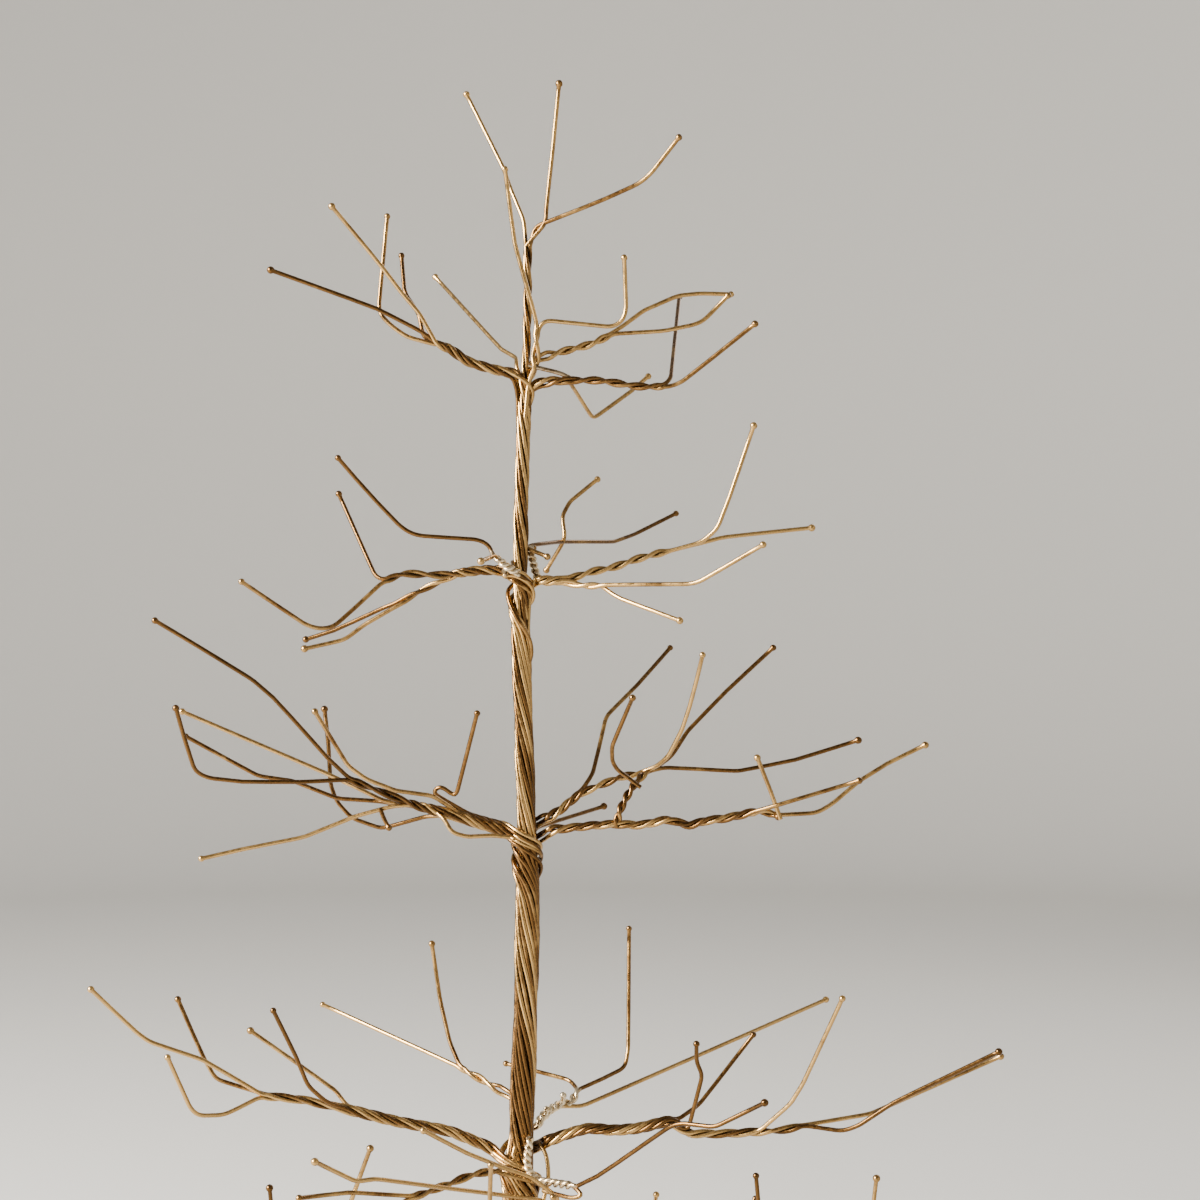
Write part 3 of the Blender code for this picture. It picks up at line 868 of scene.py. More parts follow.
def dressed(
    name: str, mesh: bmesh.types.BMesh, look: bpy.types.Material, edge: float
) -> bpy.types.Object:
    """An object in the scene from a mesh, which is used up.

    Args:
        name: The object's name.
        mesh: The mesh.
        look: Its material.
        edge: The angle from which an edge looks sharp.

    Returns:
        The object, at the origin.
    """
    data = bpy.data.meshes.new(name)
    mesh.to_mesh(data)
    mesh.free()
    data.materials.append(look)
    data.shade_smooth()
    data.set_sharp_from_angle(angle=edge)
    made = bpy.data.objects.new(name, data)
    bpy.context.scene.collection.objects.link(made)
    return made


def piece(name: str, skins: Sequence[bpy.types.Mesh], look: bpy.types.Material) -> bpy.types.Object:
    """One object from the skins of its wires, which are used up."""
    mesh = bmesh.new()
    for skin in skins:
        mesh.from_mesh(skin)
        bpy.data.meshes.remove(skin)
    return dressed(name, mesh, look, WIRE_EDGE)


@dataclass(frozen=True)
class Section:
    """One length of the trunk: the tier at its top, how many wires its ends hold, and their lay in mm."""

    top: Tier
    wires_low: int
    wires_high: int
    pitch: float


@dataclass
class Climber:
    """A wire in the outer layer of the trunk, followed upwards."""

    line: Line
    angle: float
    tone: float


@dataclass
class Trunk:
    """The bundle of wires, followed from the foot upwards, and the chance behind its irregularities.

    Sizes in mm.
    """

    gauge: Gauge
    chance: random.Random
    sections: tuple[Section, ...] = (
        Section(Tier.SIXTH, 84, 78, 150.0),
        Section(Tier.FIFTH, 60, 56, 150.0),
        Section(Tier.FOURTH, 28, 26, 130.0),
        Section(Tier.THIRD, 17, 16, 105.0),
        Section(Tier.SECOND, 10, 10, 85.0),
        Section(Tier.CROWN, 4, 4, 44.0),
    )
    packing: float = 0.8
    foot: float = 12.5
    hidden: float = 34.0
    sunk_start: float = 2.2
    surfacing: float = 10.0
    joining: float = 7.0
    bridged: float = 9.0
    allowed_recess: float = 1.3
    recess_end: float = 6.0
    sunk_end: tuple[float, float] = (4.0, 7.0)
    relax_rounds: int = 4
    tightened: float = 30.0
    tightening: float = 1.1
    lobe: float = 0.06
    top_below_crown: float = 6.0
    step: float = 3.0
    sway: float = 1.6
    sway_length: float = 285.0
    sway_start: float = 70.0
    waves: tuple[Span, Span, Span] = ((38, 70), (70, 130), (50, 110))
    wander: float = 0.2
    sink: float = 0.35
    core_depth: float = 1.55
    core_least: float = 0.2
    core_steps: int = 24
    core_joint: float = 0.5
    # How dark the core is painted: patina, and painted shade for the inside of the bundle
    core_patina_and_painted_shade: float = 0.68
    skins: list[bpy.types.Mesh] = field(default_factory=list)

    def centre(self, height: float) -> Vector:
        """The trunk's centre at a height, in mm: plumb at the foot, then swaying a little."""
        above = max(0.0, height - self.sway_start)
        return Vector((self.sway * math.sin(math.tau * above / self.sway_length), 0, height))

    def bundle_radius(self, wires: float) -> float:
        """Radius in mm over the crests of a bundle of so many wires."""
        return self.gauge.radius * math.sqrt(wires / self.packing)

    def place(self, height: float, angle: float, reach: float) -> Vector:
        """A point of the trunk in metres, by its height, its angle round the centre and its reach in mm."""
        return (self.centre(height) + direction(angle) * reach) * MM

    def polar(self, point: Vector) -> tuple[float, float, float]:
        """A point's height, its angle round the trunk's centre and its reach from it, from metres to mm."""
        height = point.z / MM
        offset = point / MM - self.centre(height)
        return height, math.atan2(offset.y, offset.x), offset.xy.length

    def inward(self, angle: float) -> Vector:
        """The way to the trunk's centre from an angle round it, at full length: the strongest patina and
        painted shade.
        """
        return -direction(angle)

    def top(self, section: Section) -> float:
        """The height in mm at which a section's wires end."""
        return section.top.value - (self.top_below_crown if section.top is Tier.CROWN else 0)

    def grow(self, branches: dict[Tier, list["Branch"]]) -> None:
        """Follows every wire of the outer layer upwards, and hands those that leave to their branch.

        Args:
            branches: The branches of each tier.
        """
        low = self.foot
        climbers: list[Climber] = []
        below_radius = 0.0
        for section in self.sections:
            climbers = self.climb(section, low, climbers, below_radius)
            below_radius = self.bundle_radius(section.wires_high)
            low = section.top.value
            climbers = self.part(climbers, branches[section.top])

    def radius(self, section: Section, low: float, height: float) -> float:
        """The trunk's radius over its crests, in mm.

        Args:
            section: The length of trunk that the height lies in.
            low: The height of its lower end.
            height: The height.

        Returns:
            The radius.
        """
        share = min(1.0, max(0.0, (height - low) / (section.top.value - low)))
        wide = self.bundle_radius(section.wires_low)
        return wide + (self.bundle_radius(section.wires_high) - wide) * share

    def turned(self, section: Section, low: float, height: float) -> float:
        """How far the twist has turned since the section's lower end: the most just under a tier.

        Args:
            section: The length of trunk.
            low: The height of its lower end.
            height: The height.

        Returns:
            The angle, which falls as the height grows.
        """
        tight = smooth((height - section.top.value + self.tightened) / self.tightened)
        extra = 0 if section.top is Tier.CROWN else self.tightening * tight
        return -math.tau * (height - low) / section.pitch - extra

    def climb(
        self, section: Section, low: float, below: list[Climber], below_radius: float
    ) -> list[Climber]:
        """Winds the outer layer of one section.

        Args:
            section: The length of trunk.
            low: The height of its lower end.
            below: The wires that come up from the section below.
            below_radius: The trunk's radius just under this section.

        Returns:
            The wires of this section's outer layer, up to its top.
        """
        own = self.gauge.radius
        reach = self.radius(section, low, low) - own
        count = max(3, math.floor(math.pi / math.asin(min(1.0, own / reach))))
        start_angle = self.chance.uniform(0, math.tau)
        lobe_angle = self.chance.uniform(0, math.tau)
        allowed = self.bundle_radius(section.wires_low) + self.allowed_recess * own
        recess = max(0.0, below_radius - allowed)
        waiting = list(below)
        found = []
        top = self.top(section)
        for i in range(count):
            slot = start_angle + math.tau * i / count
            lobe = 1 + self.lobe * math.cos(2 * slot + lobe_angle)
            phases = [self.chance.uniform(0, math.tau) for _ in self.waves]
            waves = [self.chance.uniform(*bounds) for bounds in self.waves]
            came = min(waiting, key=lambda c: apart(c.angle, slot), default=None)
            if came and apart(came.angle, slot) < math.tau / count:
                waiting.remove(came)
                climber = came
                begin = low + self.joining
            else:
                climber = Climber(Line(), slot, self.chance.random())
                begin = low - (self.hidden if low > self.foot else 0)
            steps = round((top - begin) / self.step)
            for k in range(steps + 1):
                height = begin + (top - begin) * k / steps
                sines = [math.sin(math.tau * height / wave + phase) for wave, phase in zip(waves, phases)]
                swing = (sines[0] + sines[1]) / 2 * self.wander * math.tau / count
                angle = slot + self.turned(section, low, height) + swing
                dip = self.sink * (0.5 + 0.5 * sines[2])
                radius = (self.radius(section, low, height) - own) * lobe - dip
                passed = (height - low + self.hidden) / (self.hidden + self.recess_end)
                radius += recess * (1 - smooth(passed))
                if came is not climber and low > self.foot:
                    radius -= self.sunk_start * (1 - smooth((height - begin) / self.surfacing))
                if came is climber and k == 0:
                    self.bridge(climber, height, angle, radius)
                climber.line.add(self.place(height, angle, radius), self.inward(angle), 0.0)
                climber.angle = angle
            found.append(climber)
        for climber in waiting:
            self.sink_in(climber)
        return found

    def bridge(self, climber: Climber, height: float, angle: float, radius: float) -> None:
        """Lets the last few points of a wire that climbs on into a thinner section move freely.

        Args:
            climber: The wire.
            height: Where it joins the next layer, in mm.
            angle: Its angle there.
            radius: Its reach from the centre there, in mm.
        """
        goal = self.place(height, angle, radius)
        line = climber.line
        while len(line.points) > 2 and (line.points[-1] - goal).length < self.bridged * MM:
            line.drop()
        last = line.points[-1]
        count = max(2, round((goal - last).length / (self.step * MM)))
        for i in range(1, count):
            line.add(last.lerp(goal, i / count), self.inward(angle), 1.0)

    def sink_in(self, climber: Climber) -> None:
        """Ends a wire that the next section has no room for, a little way inside the bundle."""
        line = climber.line
        inwards, upwards = self.sunk_end
        end = line.points[-1] + line.inward[-1] * inwards * MM + Vector((0, 0, upwards * MM))
        line.add(end, Vector(), 1.0)
        self.finish(climber)

    def finish(self, climber: Climber) -> None:
        """Makes the skin of a wire that stays in the trunk."""
        climber.line.relax(self.relax_rounds)
        wire = Wire(climber.line, self.gauge, climber.tone, end=Tip.CUT)
        self.skins.append(swept(wire.rings(), self.gauge, climber.tone))

    def part(self, climbers: list[Climber], branches: list["Branch"]) -> list[Climber]:
        """Hands the outer wires to the branches of the tier at a section's top.

        Args:
            climbers: The wires of the section's outer layer.
            branches: The branches that leave at its top.

        Returns:
            The wires that climb on.
        """
        staying = list(climbers)
        for branch in branches:
            for _ in branch.plan.twigs:
                if not branch.plan.rooted or branch.starts_above():
                    branch.roots.append(Climber(Line(), 0.0, self.chance.random()))
                    continue
                goal = branch.leaving_angle() + branch.turn_before_leaving
                near = min(staying, key=lambda c: apart(c.angle, goal), default=None)
                if near:
                    staying.remove(near)
                    branch.roots.append(near)
                else:
                    branch.roots.append(Climber(Line(), goal, self.chance.random()))
        return staying

    def core(self, look: bpy.types.Material) -> bpy.types.Object:
        """The wires that the outer layer hides, as one core, painted dark with patina and painted shade.

        Args:
            look: The material of the wires.

        Returns:
            The core's object.
        """
        rings = []
        low = self.foot
        inside = self.core_depth * self.gauge.radius
        for number, section in enumerate(self.sections):
            top = self.top(section)
            above = self.sections[min(number + 1, len(self.sections) - 1)]
            goal = self.bundle_radius(above.wires_low)
            for k in range(self.core_steps + 1):
                height = low + (top - low) * k / self.core_steps
                narrow = smooth((height - top + self.tightened) / self.tightened)
                wide = self.radius(section, low, height)
                reach = max(self.core_least, wide + (goal - wide) * narrow - inside)
                matrix = Matrix.Translation(self.centre(height) * MM) @ Matrix.Scale(reach * MM, 4)
                rings.append(Ring(matrix, Vector()))
            low = section.top.value + self.core_joint
        skin = swept(rings, self.gauge, 0.0)
        # The whole core is painted dark: patina, and painted shade for the shadow inside the bundle.
        for value in skin.attributes["patina"].data:
            value.value = self.core_patina_and_painted_shade
        return piece("trunk_core", [skin], look)


@dataclass
class Branch:
    """The wires of one branch, from the trunk to their tips.

    Sizes are in mm. The path is the middle of the stem, leave is where it comes out of the trunk and ends
    are where its wires leave it, in metres along it. Start is the angle at which its twist starts, and
    order is the order of the wires round it.
    """

    plan: BranchPlan
    trunk: Trunk
    turn_before_leaving: float = math.radians(125)
    turn_back: float = math.radians(30)
    clear_of_trunk: float = 2.6
    least_rise: float = 3.0
    longest_rise: float = 24.0
    rise_for_turn: float = 0.95
    early_rise: float = 0.6
    lift: float = 1.9
    lift_turn: float = math.radians(60)
    lift_share: float = 0.35
    late_reach: float = 2.2
    hidden_start: tuple[tuple[float, float], ...] = ((13.0, 0.5), (9.0, 1.0))
    above_tier: float = 5.0
    least_stem: float = 4.0
    closing: float = 8.0
    loosening: float = 3.5
    give: float = 0.7
    solder_fade: float = 6.0
    opening: float = 0.7
    opening_length: float = 9.0
    many: int = 4
    opening_of_many: float = 0.175
    tight_lay: float = 10.0
    squeeze: float = 0.03
    # How much patina and painted shade darken the side of a wire that faces its neighbours in a stem, and the
    # trunk where it leaves
    patina_and_painted_shade_between: float = 0.4
    patina_and_painted_shade_between_many: float = 0.6
    patina_and_painted_shade_at_trunk: float = 0.5
    points_a_turn: int = 14
    bend_rounds: int = 5
    try_all_up_to: int = 5
    tried_orders: int = 200
    tried_starts: int = 12
    path: Path | None = None
    leave: float = 0.0
    ends: list[float] = field(default_factory=list)
    start: float = 0.0
    order: list[int] = field(default_factory=list)
    roots: list[Climber] = field(default_factory=list)
    skins: list[bpy.types.Mesh] = field(default_factory=list)

    @property
    def gauge(self) -> Gauge:
        """The wire, which is the trunk's."""
        return self.trunk.gauge

    def point(self, bend: Bend) -> Vector:
        """A bend's place, in metres."""
        return (Vector(bend) + Vector((0, 0, self.plan.tier.value))) * MM

    def leaving_angle(self) -> float:
        """The angle round the trunk at which the branch leaves it."""
        if not self.plan.stem:
            return 0.0
        bend = self.plan.stem[1]
        return math.atan2(bend[1], bend[0])

    def starts_above(self) -> bool:
        """Whether the branch leaves the trunk clearly above its tier."""
        return bool(self.plan.stem) and self.plan.stem[0][2] > self.above_tier

    def trunk_radius(self) -> float:
        """The trunk's radius where the branch leaves it, in mm."""
        sections = self.trunk.sections
        number = next(i for i, section in enumerate(sections) if section.top is self.plan.tier)
        if self.starts_above() and number + 1 < len(sections):
            return self.trunk.bundle_radius(sections[number + 1].wires_low)
        return self.trunk.bundle_radius(sections[number].wires_high)

    def settle_stem(self) -> None:
        """Settles the stem's course, and how its wires lie in it."""
        root = self.trunk.centre(self.plan.tier.value + self.plan.stem[0][2]) * MM
        if not self.plan.rooted:
            root = self.point(self.plan.stem[0])
        bends = [root, *(self.point(bend) for bend in self.plan.stem[1:])]
        self.path = Path(rounded(bends, self.gauge.step * MM, self.bend_rounds))
        self.leave = self.exit_distance()
        least = self.leave + self.least_stem * MM
        self.ends = [max(least, self.path.length * twig.leaves) for twig in self.plan.twigs]
        self.start, self.order = self.best_order()

    def exit_distance(self) -> float:
        """The distance along the stem at which it is clear of the trunk, in metres."""
        if not self.plan.rooted:
            return 0.0
        clear = (self.trunk_radius() + self.clear_of_trunk) * MM
        axis = self.path.points[0]
        for point, along in zip(self.path.points, self.path.lengths):
            if (point - axis).xy.length >= clear:
                return along
        return self.path.length

    def shares(self, along: float) -> list[float]:
        """How much room each wire takes up at a distance along the stem: 1, or 0 once it has left."""
        return [smooth((end - along) / (self.closing * MM) + 0.5) for end in self.ends]

    def ring_radius(self, wires: float) -> float:
        """How far from the stem's middle its wires lie, in mm.

        Args:
            wires: How many wires lie there, which may be between two whole numbers.

        Returns:
            The distance in mm.
        """
        own = self.gauge.radius
        if wires <= 1:
            return 0.0
        if wires <= 2:
            return own * (wires - 1)
        squeeze = 1 - self.squeeze * max(0.0, wires - self.many)
        return own / math.sin(math.pi / wires) * squeeze

    def angles(self, along: float, order: Sequence[int]) -> list[float]:
        """Where each wire lies round the stem's middle, before the twist.

        Args:
            along: The distance along the stem, in metres.
            order: The wires' order round the stem.

        Returns:
            An angle for each wire.
        """
        room = self.shares(along)
        whole = max(sum(room), TINY)
        found = [0.0] * len(room)
        passed = 0.0
        for number in order:
            found[number] = math.tau * (passed + room[number] / 2) / whole
            passed += room[number]
        return found

    def twist(self, along: float) -> float:
        """How far the stem has turned at a distance along it, in metres."""
        return self.plan.hand.value * math.tau * along / (self.plan.lay * MM)

    def best_order(self) -> tuple[float, list[int]]:
        """The start of the twist and the wires' order, so that each wire leaves on its own side.

        Returns:
            The angle at the start, and the order of the wires.
        """
        count = len(self.ends)
        if count == 1:
            return 0.0, [0]
        wanted = []
        for twig, end in zip(self.plan.twigs, self.ends):
            local = self.path.at(end).inverted() @ self.point(twig.bends[0])
            wanted.append(math.atan2(local.y, local.x) - self.twist(end))
        if count <= self.try_all_up_to:
            orders = [list(order) for order in itertools.permutations(range(count))]
        else:
            sample = self.trunk.chance.sample
            orders = [sample(range(count), count) for _ in range(self.tried_orders)]
        best = (math.inf, 0.0, orders[0])
        for order in orders:
            lying = [self.angles(end, order)[n] for n, end in enumerate(self.ends)]
            for step in range(self.tried_starts):
                start = math.tau * step / self.tried_starts
                cost = sum(1 - math.cos(start + lie - want) for lie, want in zip(lying, wanted))
                if cost < best[0]:
                    best = (cost, start, order)
        return best[1], best[2]

    def build(self) -> None:
        """Makes the skin of every wire."""
        if self.plan.stem:
            self.settle_stem()
        for number, (twig, root) in enumerate(zip(self.plan.twigs, self.roots)):
            line = Line()
            if not self.plan.rooted:
                held = 1
                self.follow_stem(number, line)
            elif self.plan.stem:
                held = self.leave_trunk(root, self.stem_place(self.leave, number)[0], line)
                self.follow_stem(number, line)
            else:
                line = root.line
                held = len(line.points)
            line.add_free([self.point(bend) for bend in twig.bends], self.gauge.step * MM)
            line.relax(self.bend_rounds)
            self.skin(line, held, root.tone, twig.tip)

    def stem_place(self, along: float, number: int) -> tuple[Vector, Vector]:
        """Where one wire of the stem lies.

        Args:
            along: The distance along the stem, in metres.
            number: Which wire.

        Returns:
            Its place, and the way from there to the stem's middle, as long as the patina and painted shade on
            that side.
        """
        station = self.path.at(along)
        many = len(self.ends) >= self.many
        reach = self.ring_radius(sum(self.shares(along))) * MM
        if self.plan.rooted and self.plan.lay > self.tight_lay:
            opening = self.opening_of_many if many else self.opening
            reach *= 1 + opening * (1 - smooth((along - self.leave) / (self.opening_length * MM)))
        outward = direction(self.start + self.twist(along) + self.angles(along, self.order)[number])
        place = station @ (outward * reach)
        # Patina and painted shade on the side of the wire that faces the stem's middle.
        depth = self.patina_and_painted_shade_between_many if many else self.patina_and_painted_shade_between
        inward = -(station.to_3x3() @ outward).normalized() * min(depth, reach / MM)
        return place, inward

    def travel(self, start: float, goal: float) -> float:
        """The turn from one angle to another, against the twist only where that is much shorter."""
        turn = (goal - start) % math.tau
        return turn if turn < self.turn_back else turn - math.tau

    def leave_trunk(self, root: Climber, goal: Vector, line: Line) -> int:
        """Winds a wire out of the trunk's outer layer to where the stem begins.

        Args:
            root: The wire in the trunk.
            goal: Where it joins the stem, in metres.
            line: The line to add to.

        Returns:
            How many of the line's points belong to the trunk.
        """
        radius = self.trunk_radius()
        goal_height, goal_angle, goal_reach = self.trunk.polar(goal)
        kept = 0
        for point, inward, freedom in zip(root.line.points, root.line.inward, root.line.freedom):
            height, angle, _ = self.trunk.polar(point)
            needed = self.least_rise + self.rise_for_turn * abs(self.travel(angle, goal_angle)) * radius
            if goal_height - height < min(self.longest_rise, needed):
                break
            line.add(point, inward, freedom)
            kept += 1
        if kept == 0:
            for below, reach in self.hidden_start:
                line.add(self.trunk.place(goal_height - below, goal_angle, reach), Vector(), 0.0)
                kept += 1
        height, angle, reach = self.trunk.polar(line.points[-1])
        travel = self.travel(angle, goal_angle)
        length = math.hypot(goal_height - height, travel * radius, goal_reach - reach)
        count = max(4, round(length / self.gauge.step))
        lift = min(1.0, abs(travel) / self.lift_turn) * self.lift * self.gauge.radius
        for i in range(1, count):
            share = i / count
            risen = height + (goal_height - height) * share * (1 + self.early_rise * (1 - share))
            lifted = reach + lift * smooth(share / self.lift_share)
            out = max(lifted, reach + (goal_reach - reach) * share**self.late_reach)
            here = angle + travel * (smooth(share) + share) / 2
            # Patina and painted shade on the side facing the trunk, fading as the wire leaves it.
            shade = self.trunk.inward(here) * self.patina_and_painted_shade_at_trunk * (1 - share)
            line.add(self.trunk.place(risen, here, out), shade, self.give)
        return kept

    def follow_stem(self, number: int, line: Line) -> None:
        """Adds the stretch of a wire that is twisted into the stem.

        Args:
            number: Which wire.
            line: The line to add to.
        """
        end = self.ends[number]
        span = end - self.leave
        count = max(2, round(span / (min(self.gauge.step, self.plan.lay / self.points_a_turn) * MM)))
        for i in range(count + 1):
            along = self.leave + span * i / count
            place, inward = self.stem_place(along, number)
            near = min(along - self.leave, end - along) / (self.loosening * MM)
            solder = self.plan.soldered * smooth((end - along) / (self.solder_fade * MM) + 0.5)
            line.add(place, inward, self.give * (1 - smooth(near)), solder)

    def skin(self, line: Line, held: int, tone: float, tip: Tip) -> None:
        """Makes a wire's skin and shares it out between the trunk and the branch.

        Args:
            line: The wire's centre line.
            held: How many of its points belong to the trunk.
            tone: How light or dark the wire is.
            tip: How it ends.
        """
        size = 1 + self.trunk.chance.uniform(-self.gauge.ball_spread, self.gauge.ball_spread)
        parting = line.points[held - 1]
        rings = Wire(line, self.gauge, tone, end=tip, ball_size=size).rings()
        cut = max(1, min(range(len(rings)), key=lambda i: (rings[i].matrix.translation - parting).length))
        if self.plan.rooted:
            self.trunk.skins.append(swept(rings[: cut + 1], self.gauge, tone))
            rings = rings[cut:]
        self.skins.append(swept(rings, self.gauge, tone))


def linear(code: str) -> tuple[float, float, float, float]:
    """A linear colour from an sRGB hex code.

    Args:
        code: Six hex digits after a hash.

    Returns:
        Red, green, blue and alpha.
    """
    channels = [int(code[i : i + 2], 16) / 255 for i in (1, 3, 5)]
    turned = [c / 12.92 if c <= 0.04045 else ((c + 0.055) / 1.055) ** 2.4 for c in channels]
    return (*turned, 1.0)


@dataclass
class Look:
    """The shader of one material, and the ways that the finishes here add to it.

    A method that adds a node gives back the socket that comes out of it.
    """

    name: str

    def __post_init__(self) -> None:
        """Makes the material."""
        self.material = bpy.data.materials.new(self.name)
        self.material.use_nodes = True
        self.tree = self.material.node_tree
        self.shader = self.tree.nodes["Principled BSDF"]

    def add(
        self,
        kind: str,
        out: str | int,
        settings: dict[str | int, object] | None = None,
        links: dict[str | int, bpy.types.NodeSocket] | None = None,
    ) -> bpy.types.NodeSocket:
        """Adds a node with its settings and links.

        Args:
            kind: The node's type.
            out: The name or number of the output to give back.
            settings: Values by the name of the node's property, or by the name or number of its input.
            links: Output sockets by the input that each feeds.

        Returns:
            The node's output.
        """
        node = self.tree.nodes.new(kind)
        for key, value in (settings or {}).items():
            if isinstance(key, str) and hasattr(node, key):
                setattr(node, key, value)
            else:
                node.inputs[key].default_value = value
        for key, socket in (links or {}).items():
            self.tree.links.new(socket, node.inputs[key])
        return node.outputs[out]

    def place(self) -> bpy.types.NodeSocket:
        """Each point's place on the object."""
        return self.add("ShaderNodeTexCoord", "Object")

    def attribute(self, name: str) -> bpy.types.NodeSocket:
        """A number that the mesh carries at each of its points."""
        return self.add("ShaderNodeAttribute", "Fac", {"attribute_name": name})

    def noise(self, size: float, fineness: Span) -> bpy.types.NodeSocket:
        """Clouds from 0 to 1, of a size in mm, with so many finer layers and so much of each."""
        layers, share = fineness
        settings = {"Scale": 1 / (size * MM), "Detail": layers, "Roughness": share}
        return self.add("ShaderNodeTexNoise", "Fac", settings, {"Vector": self.place()})

    def spread(self, value: bpy.types.NodeSocket, start: Span, goal: Span) -> bpy.types.NodeSocket:
        """Carries a value over from one range to another and stops it at the ends."""
        settings = dict(zip(("From Min", "From Max", "To Min", "To Max"), (*start, *goal)))
        return self.add("ShaderNodeMapRange", "Result", settings, {"Value": value})

    def weighed(
        self, value: bpy.types.NodeSocket, weight: float, rest: bpy.types.NodeSocket
    ) -> bpy.types.NodeSocket:
        """Adds a value, times its weight, to the rest."""
        settings = {"operation": "MULTIPLY_ADD", 1: weight}
        return self.add("ShaderNodeMath", "Value", settings, {0: value, 2: rest})

    def covered(
        self, under: bpy.types.NodeSocket, code: str, cover: bpy.types.NodeSocket
    ) -> bpy.types.NodeSocket:
        """Lays a plain colour over another one, as far as the cover goes from 0 to 1."""
        settings = {"data_type": "RGBA", 7: linear(code)}
        return self.add("ShaderNodeMix", 2, settings, {"Factor": cover, 6: under})

    def ramp(self, factor: bpy.types.NodeSocket, stops: dict[float, str]) -> bpy.types.NodeSocket:
        """A colour ramp.

        Args:
            factor: What drives the ramp.
            stops: A hex code for each position.

        Returns:
            The ramp's colour.
        """
        colour = self.add("ShaderNodeValToRGB", "Color", links={"Fac": factor})
        elements = colour.node.color_ramp.elements
        while len(elements) < len(stops):
            elements.new(0.5)
        for element, (position, code) in zip(elements, sorted(stops.items())):
            element.position = position
            element.color = linear(code)
        return colour

    def feed(self, name: str, value: bpy.types.NodeSocket | float | tuple[float, ...]) -> None:
        """Sets an input of the shader, or links it."""
        if isinstance(value, bpy.types.NodeSocket):
            self.tree.links.new(value, self.shader.inputs[name])
        else:
            self.shader.inputs[name].default_value = value

    def emboss(self, height: bpy.types.NodeSocket, strength: float, depth: float) -> None:
        """Gives the surface a fine relief, with its strength from 0 to 1 and its depth in mm."""
        settings = {"Strength": strength, "Distance": depth * MM}
        self.feed("Normal", self.add("ShaderNodeBump", "Normal", settings, {"Height": height}))


class Finish:
    """A surface finish, which paints the look of a new material."""

    name: ClassVar[str]

    def material(self) -> bpy.types.Material:
        """Makes the material."""
        look = Look(self.name)
        self.paint(look)
        return look.material

    def paint(self, look: Look) -> None:
        """Feeds the shader of the look."""
        raise NotImplementedError


@dataclass(frozen=True)
class AntiquedBrassWire(Finish):
    """Drawn brass wire, darkened in a patina bath and rubbed back.

    The crests are a pale satin gold, and the hollows where wires touch are dark brown: patina, with painted
    shade there as well. Each wire came out of the bath a little lighter or darker than its neighbours. Solder
    whitens it in patches. Sizes in mm.
    """

    name: ClassVar[str] = "drawn brass wire, antiqued"
    crest: str = "#AE8B55"
    body: str = "#694B29"
    brown: str = "#3E2B15"
    # Patina and painted shade in the hollows where wires touch
    patina_and_painted_shade: str = "#2A1A0A"
    solder: str = "#DCC9A6"
    stops: tuple[float, float, float] = (0.42, 0.8, 1.0)
    blotch: float = 17.0
    blotch_fineness: Span = (3.0, 0.55)
    blotch_shade: Span = (0.27, 0.87)
    mottle: float = 2.4
    mottle_fineness: Span = (2.0, 0.6)
    mottle_weight: float = 0.16
    tone_weight: float = 0.45
    # How the patina and painted shade attribute maps to cover by the dark brown
    patina_and_painted_shade_from_to: Span = (0.16, 0.52)
    patina_and_painted_shade_cover: Span = (0.0, 0.9)
    solder_from_to: Span = (0.36, 0.52)
    solder_cover: Span = (0.35, 0.95)
    rough_from_to: Span = (0.3, 0.7)
    roughness: Span = (0.2, 0.36)
    grain: float = 0.5
    grain_fineness: Span = (2.0, 0.5)
    grain_strength: float = 0.12
    grain_depth: float = 0.06

    def paint(self, look: Look) -> None:
        """Feeds the shader of the look."""
        look.material.diffuse_color = linear(self.body)
        blotch = look.noise(self.blotch, self.blotch_fineness)
        mottle = look.noise(self.mottle, self.mottle_fineness)
        cloud = look.spread(blotch, (0.0, 1.0), self.blotch_shade)
        patchy = look.weighed(mottle, self.mottle_weight, cloud)
        shade = look.weighed(look.attribute("tone"), self.tone_weight, patchy)
        colour = look.ramp(shade, dict(zip(self.stops, (self.brown, self.body, self.crest))))
        # Patina and painted shade: the dark brown covers the sides of the wires that face each other.
        depth = look.spread(look.attribute("patina"), self.patina_and_painted_shade_from_to, self.patina_and_painted_shade_cover)
        colour = look.covered(colour, self.patina_and_painted_shade, depth)
        patch = look.spread(mottle, self.solder_from_to, self.solder_cover)
        links = {0: patch, 1: look.attribute("solder")}
        cover = look.add("ShaderNodeMath", "Value", {"operation": "MULTIPLY"}, links)
        look.feed("Base Color", look.covered(colour, self.solder, cover))
        look.feed("Roughness", look.spread(mottle, self.rough_from_to, self.roughness))
        look.feed("Metallic", 1.0)
        grain = look.noise(self.grain, self.grain_fineness)
        look.emboss(grain, self.grain_strength, self.grain_depth)


@dataclass(frozen=True)
class TinSolder(Finish):
    """Soft tin solder run into the socket: a dull warm grey. Sizes in mm."""

    name: ClassVar[str] = "tin solder, run in"
    light: str = "#989080"
    dull: str = "#676053"
    stops: Span = (0.35, 0.65)
    mottle: float = 1.6
    mottle_fineness: Span = (2.0, 0.5)
    roughness: float = 0.5

    def paint(self, look: Look) -> None:
        """Feeds the shader of the look."""
        look.material.diffuse_color = linear(self.light)
        stops = dict(zip(self.stops, (self.dull, self.light)))
        mottle = look.noise(self.mottle, self.mottle_fineness)
        look.feed("Base Color", look.ramp(mottle, stops))
        look.feed("Metallic", 1.0)
        look.feed("Roughness", self.roughness)


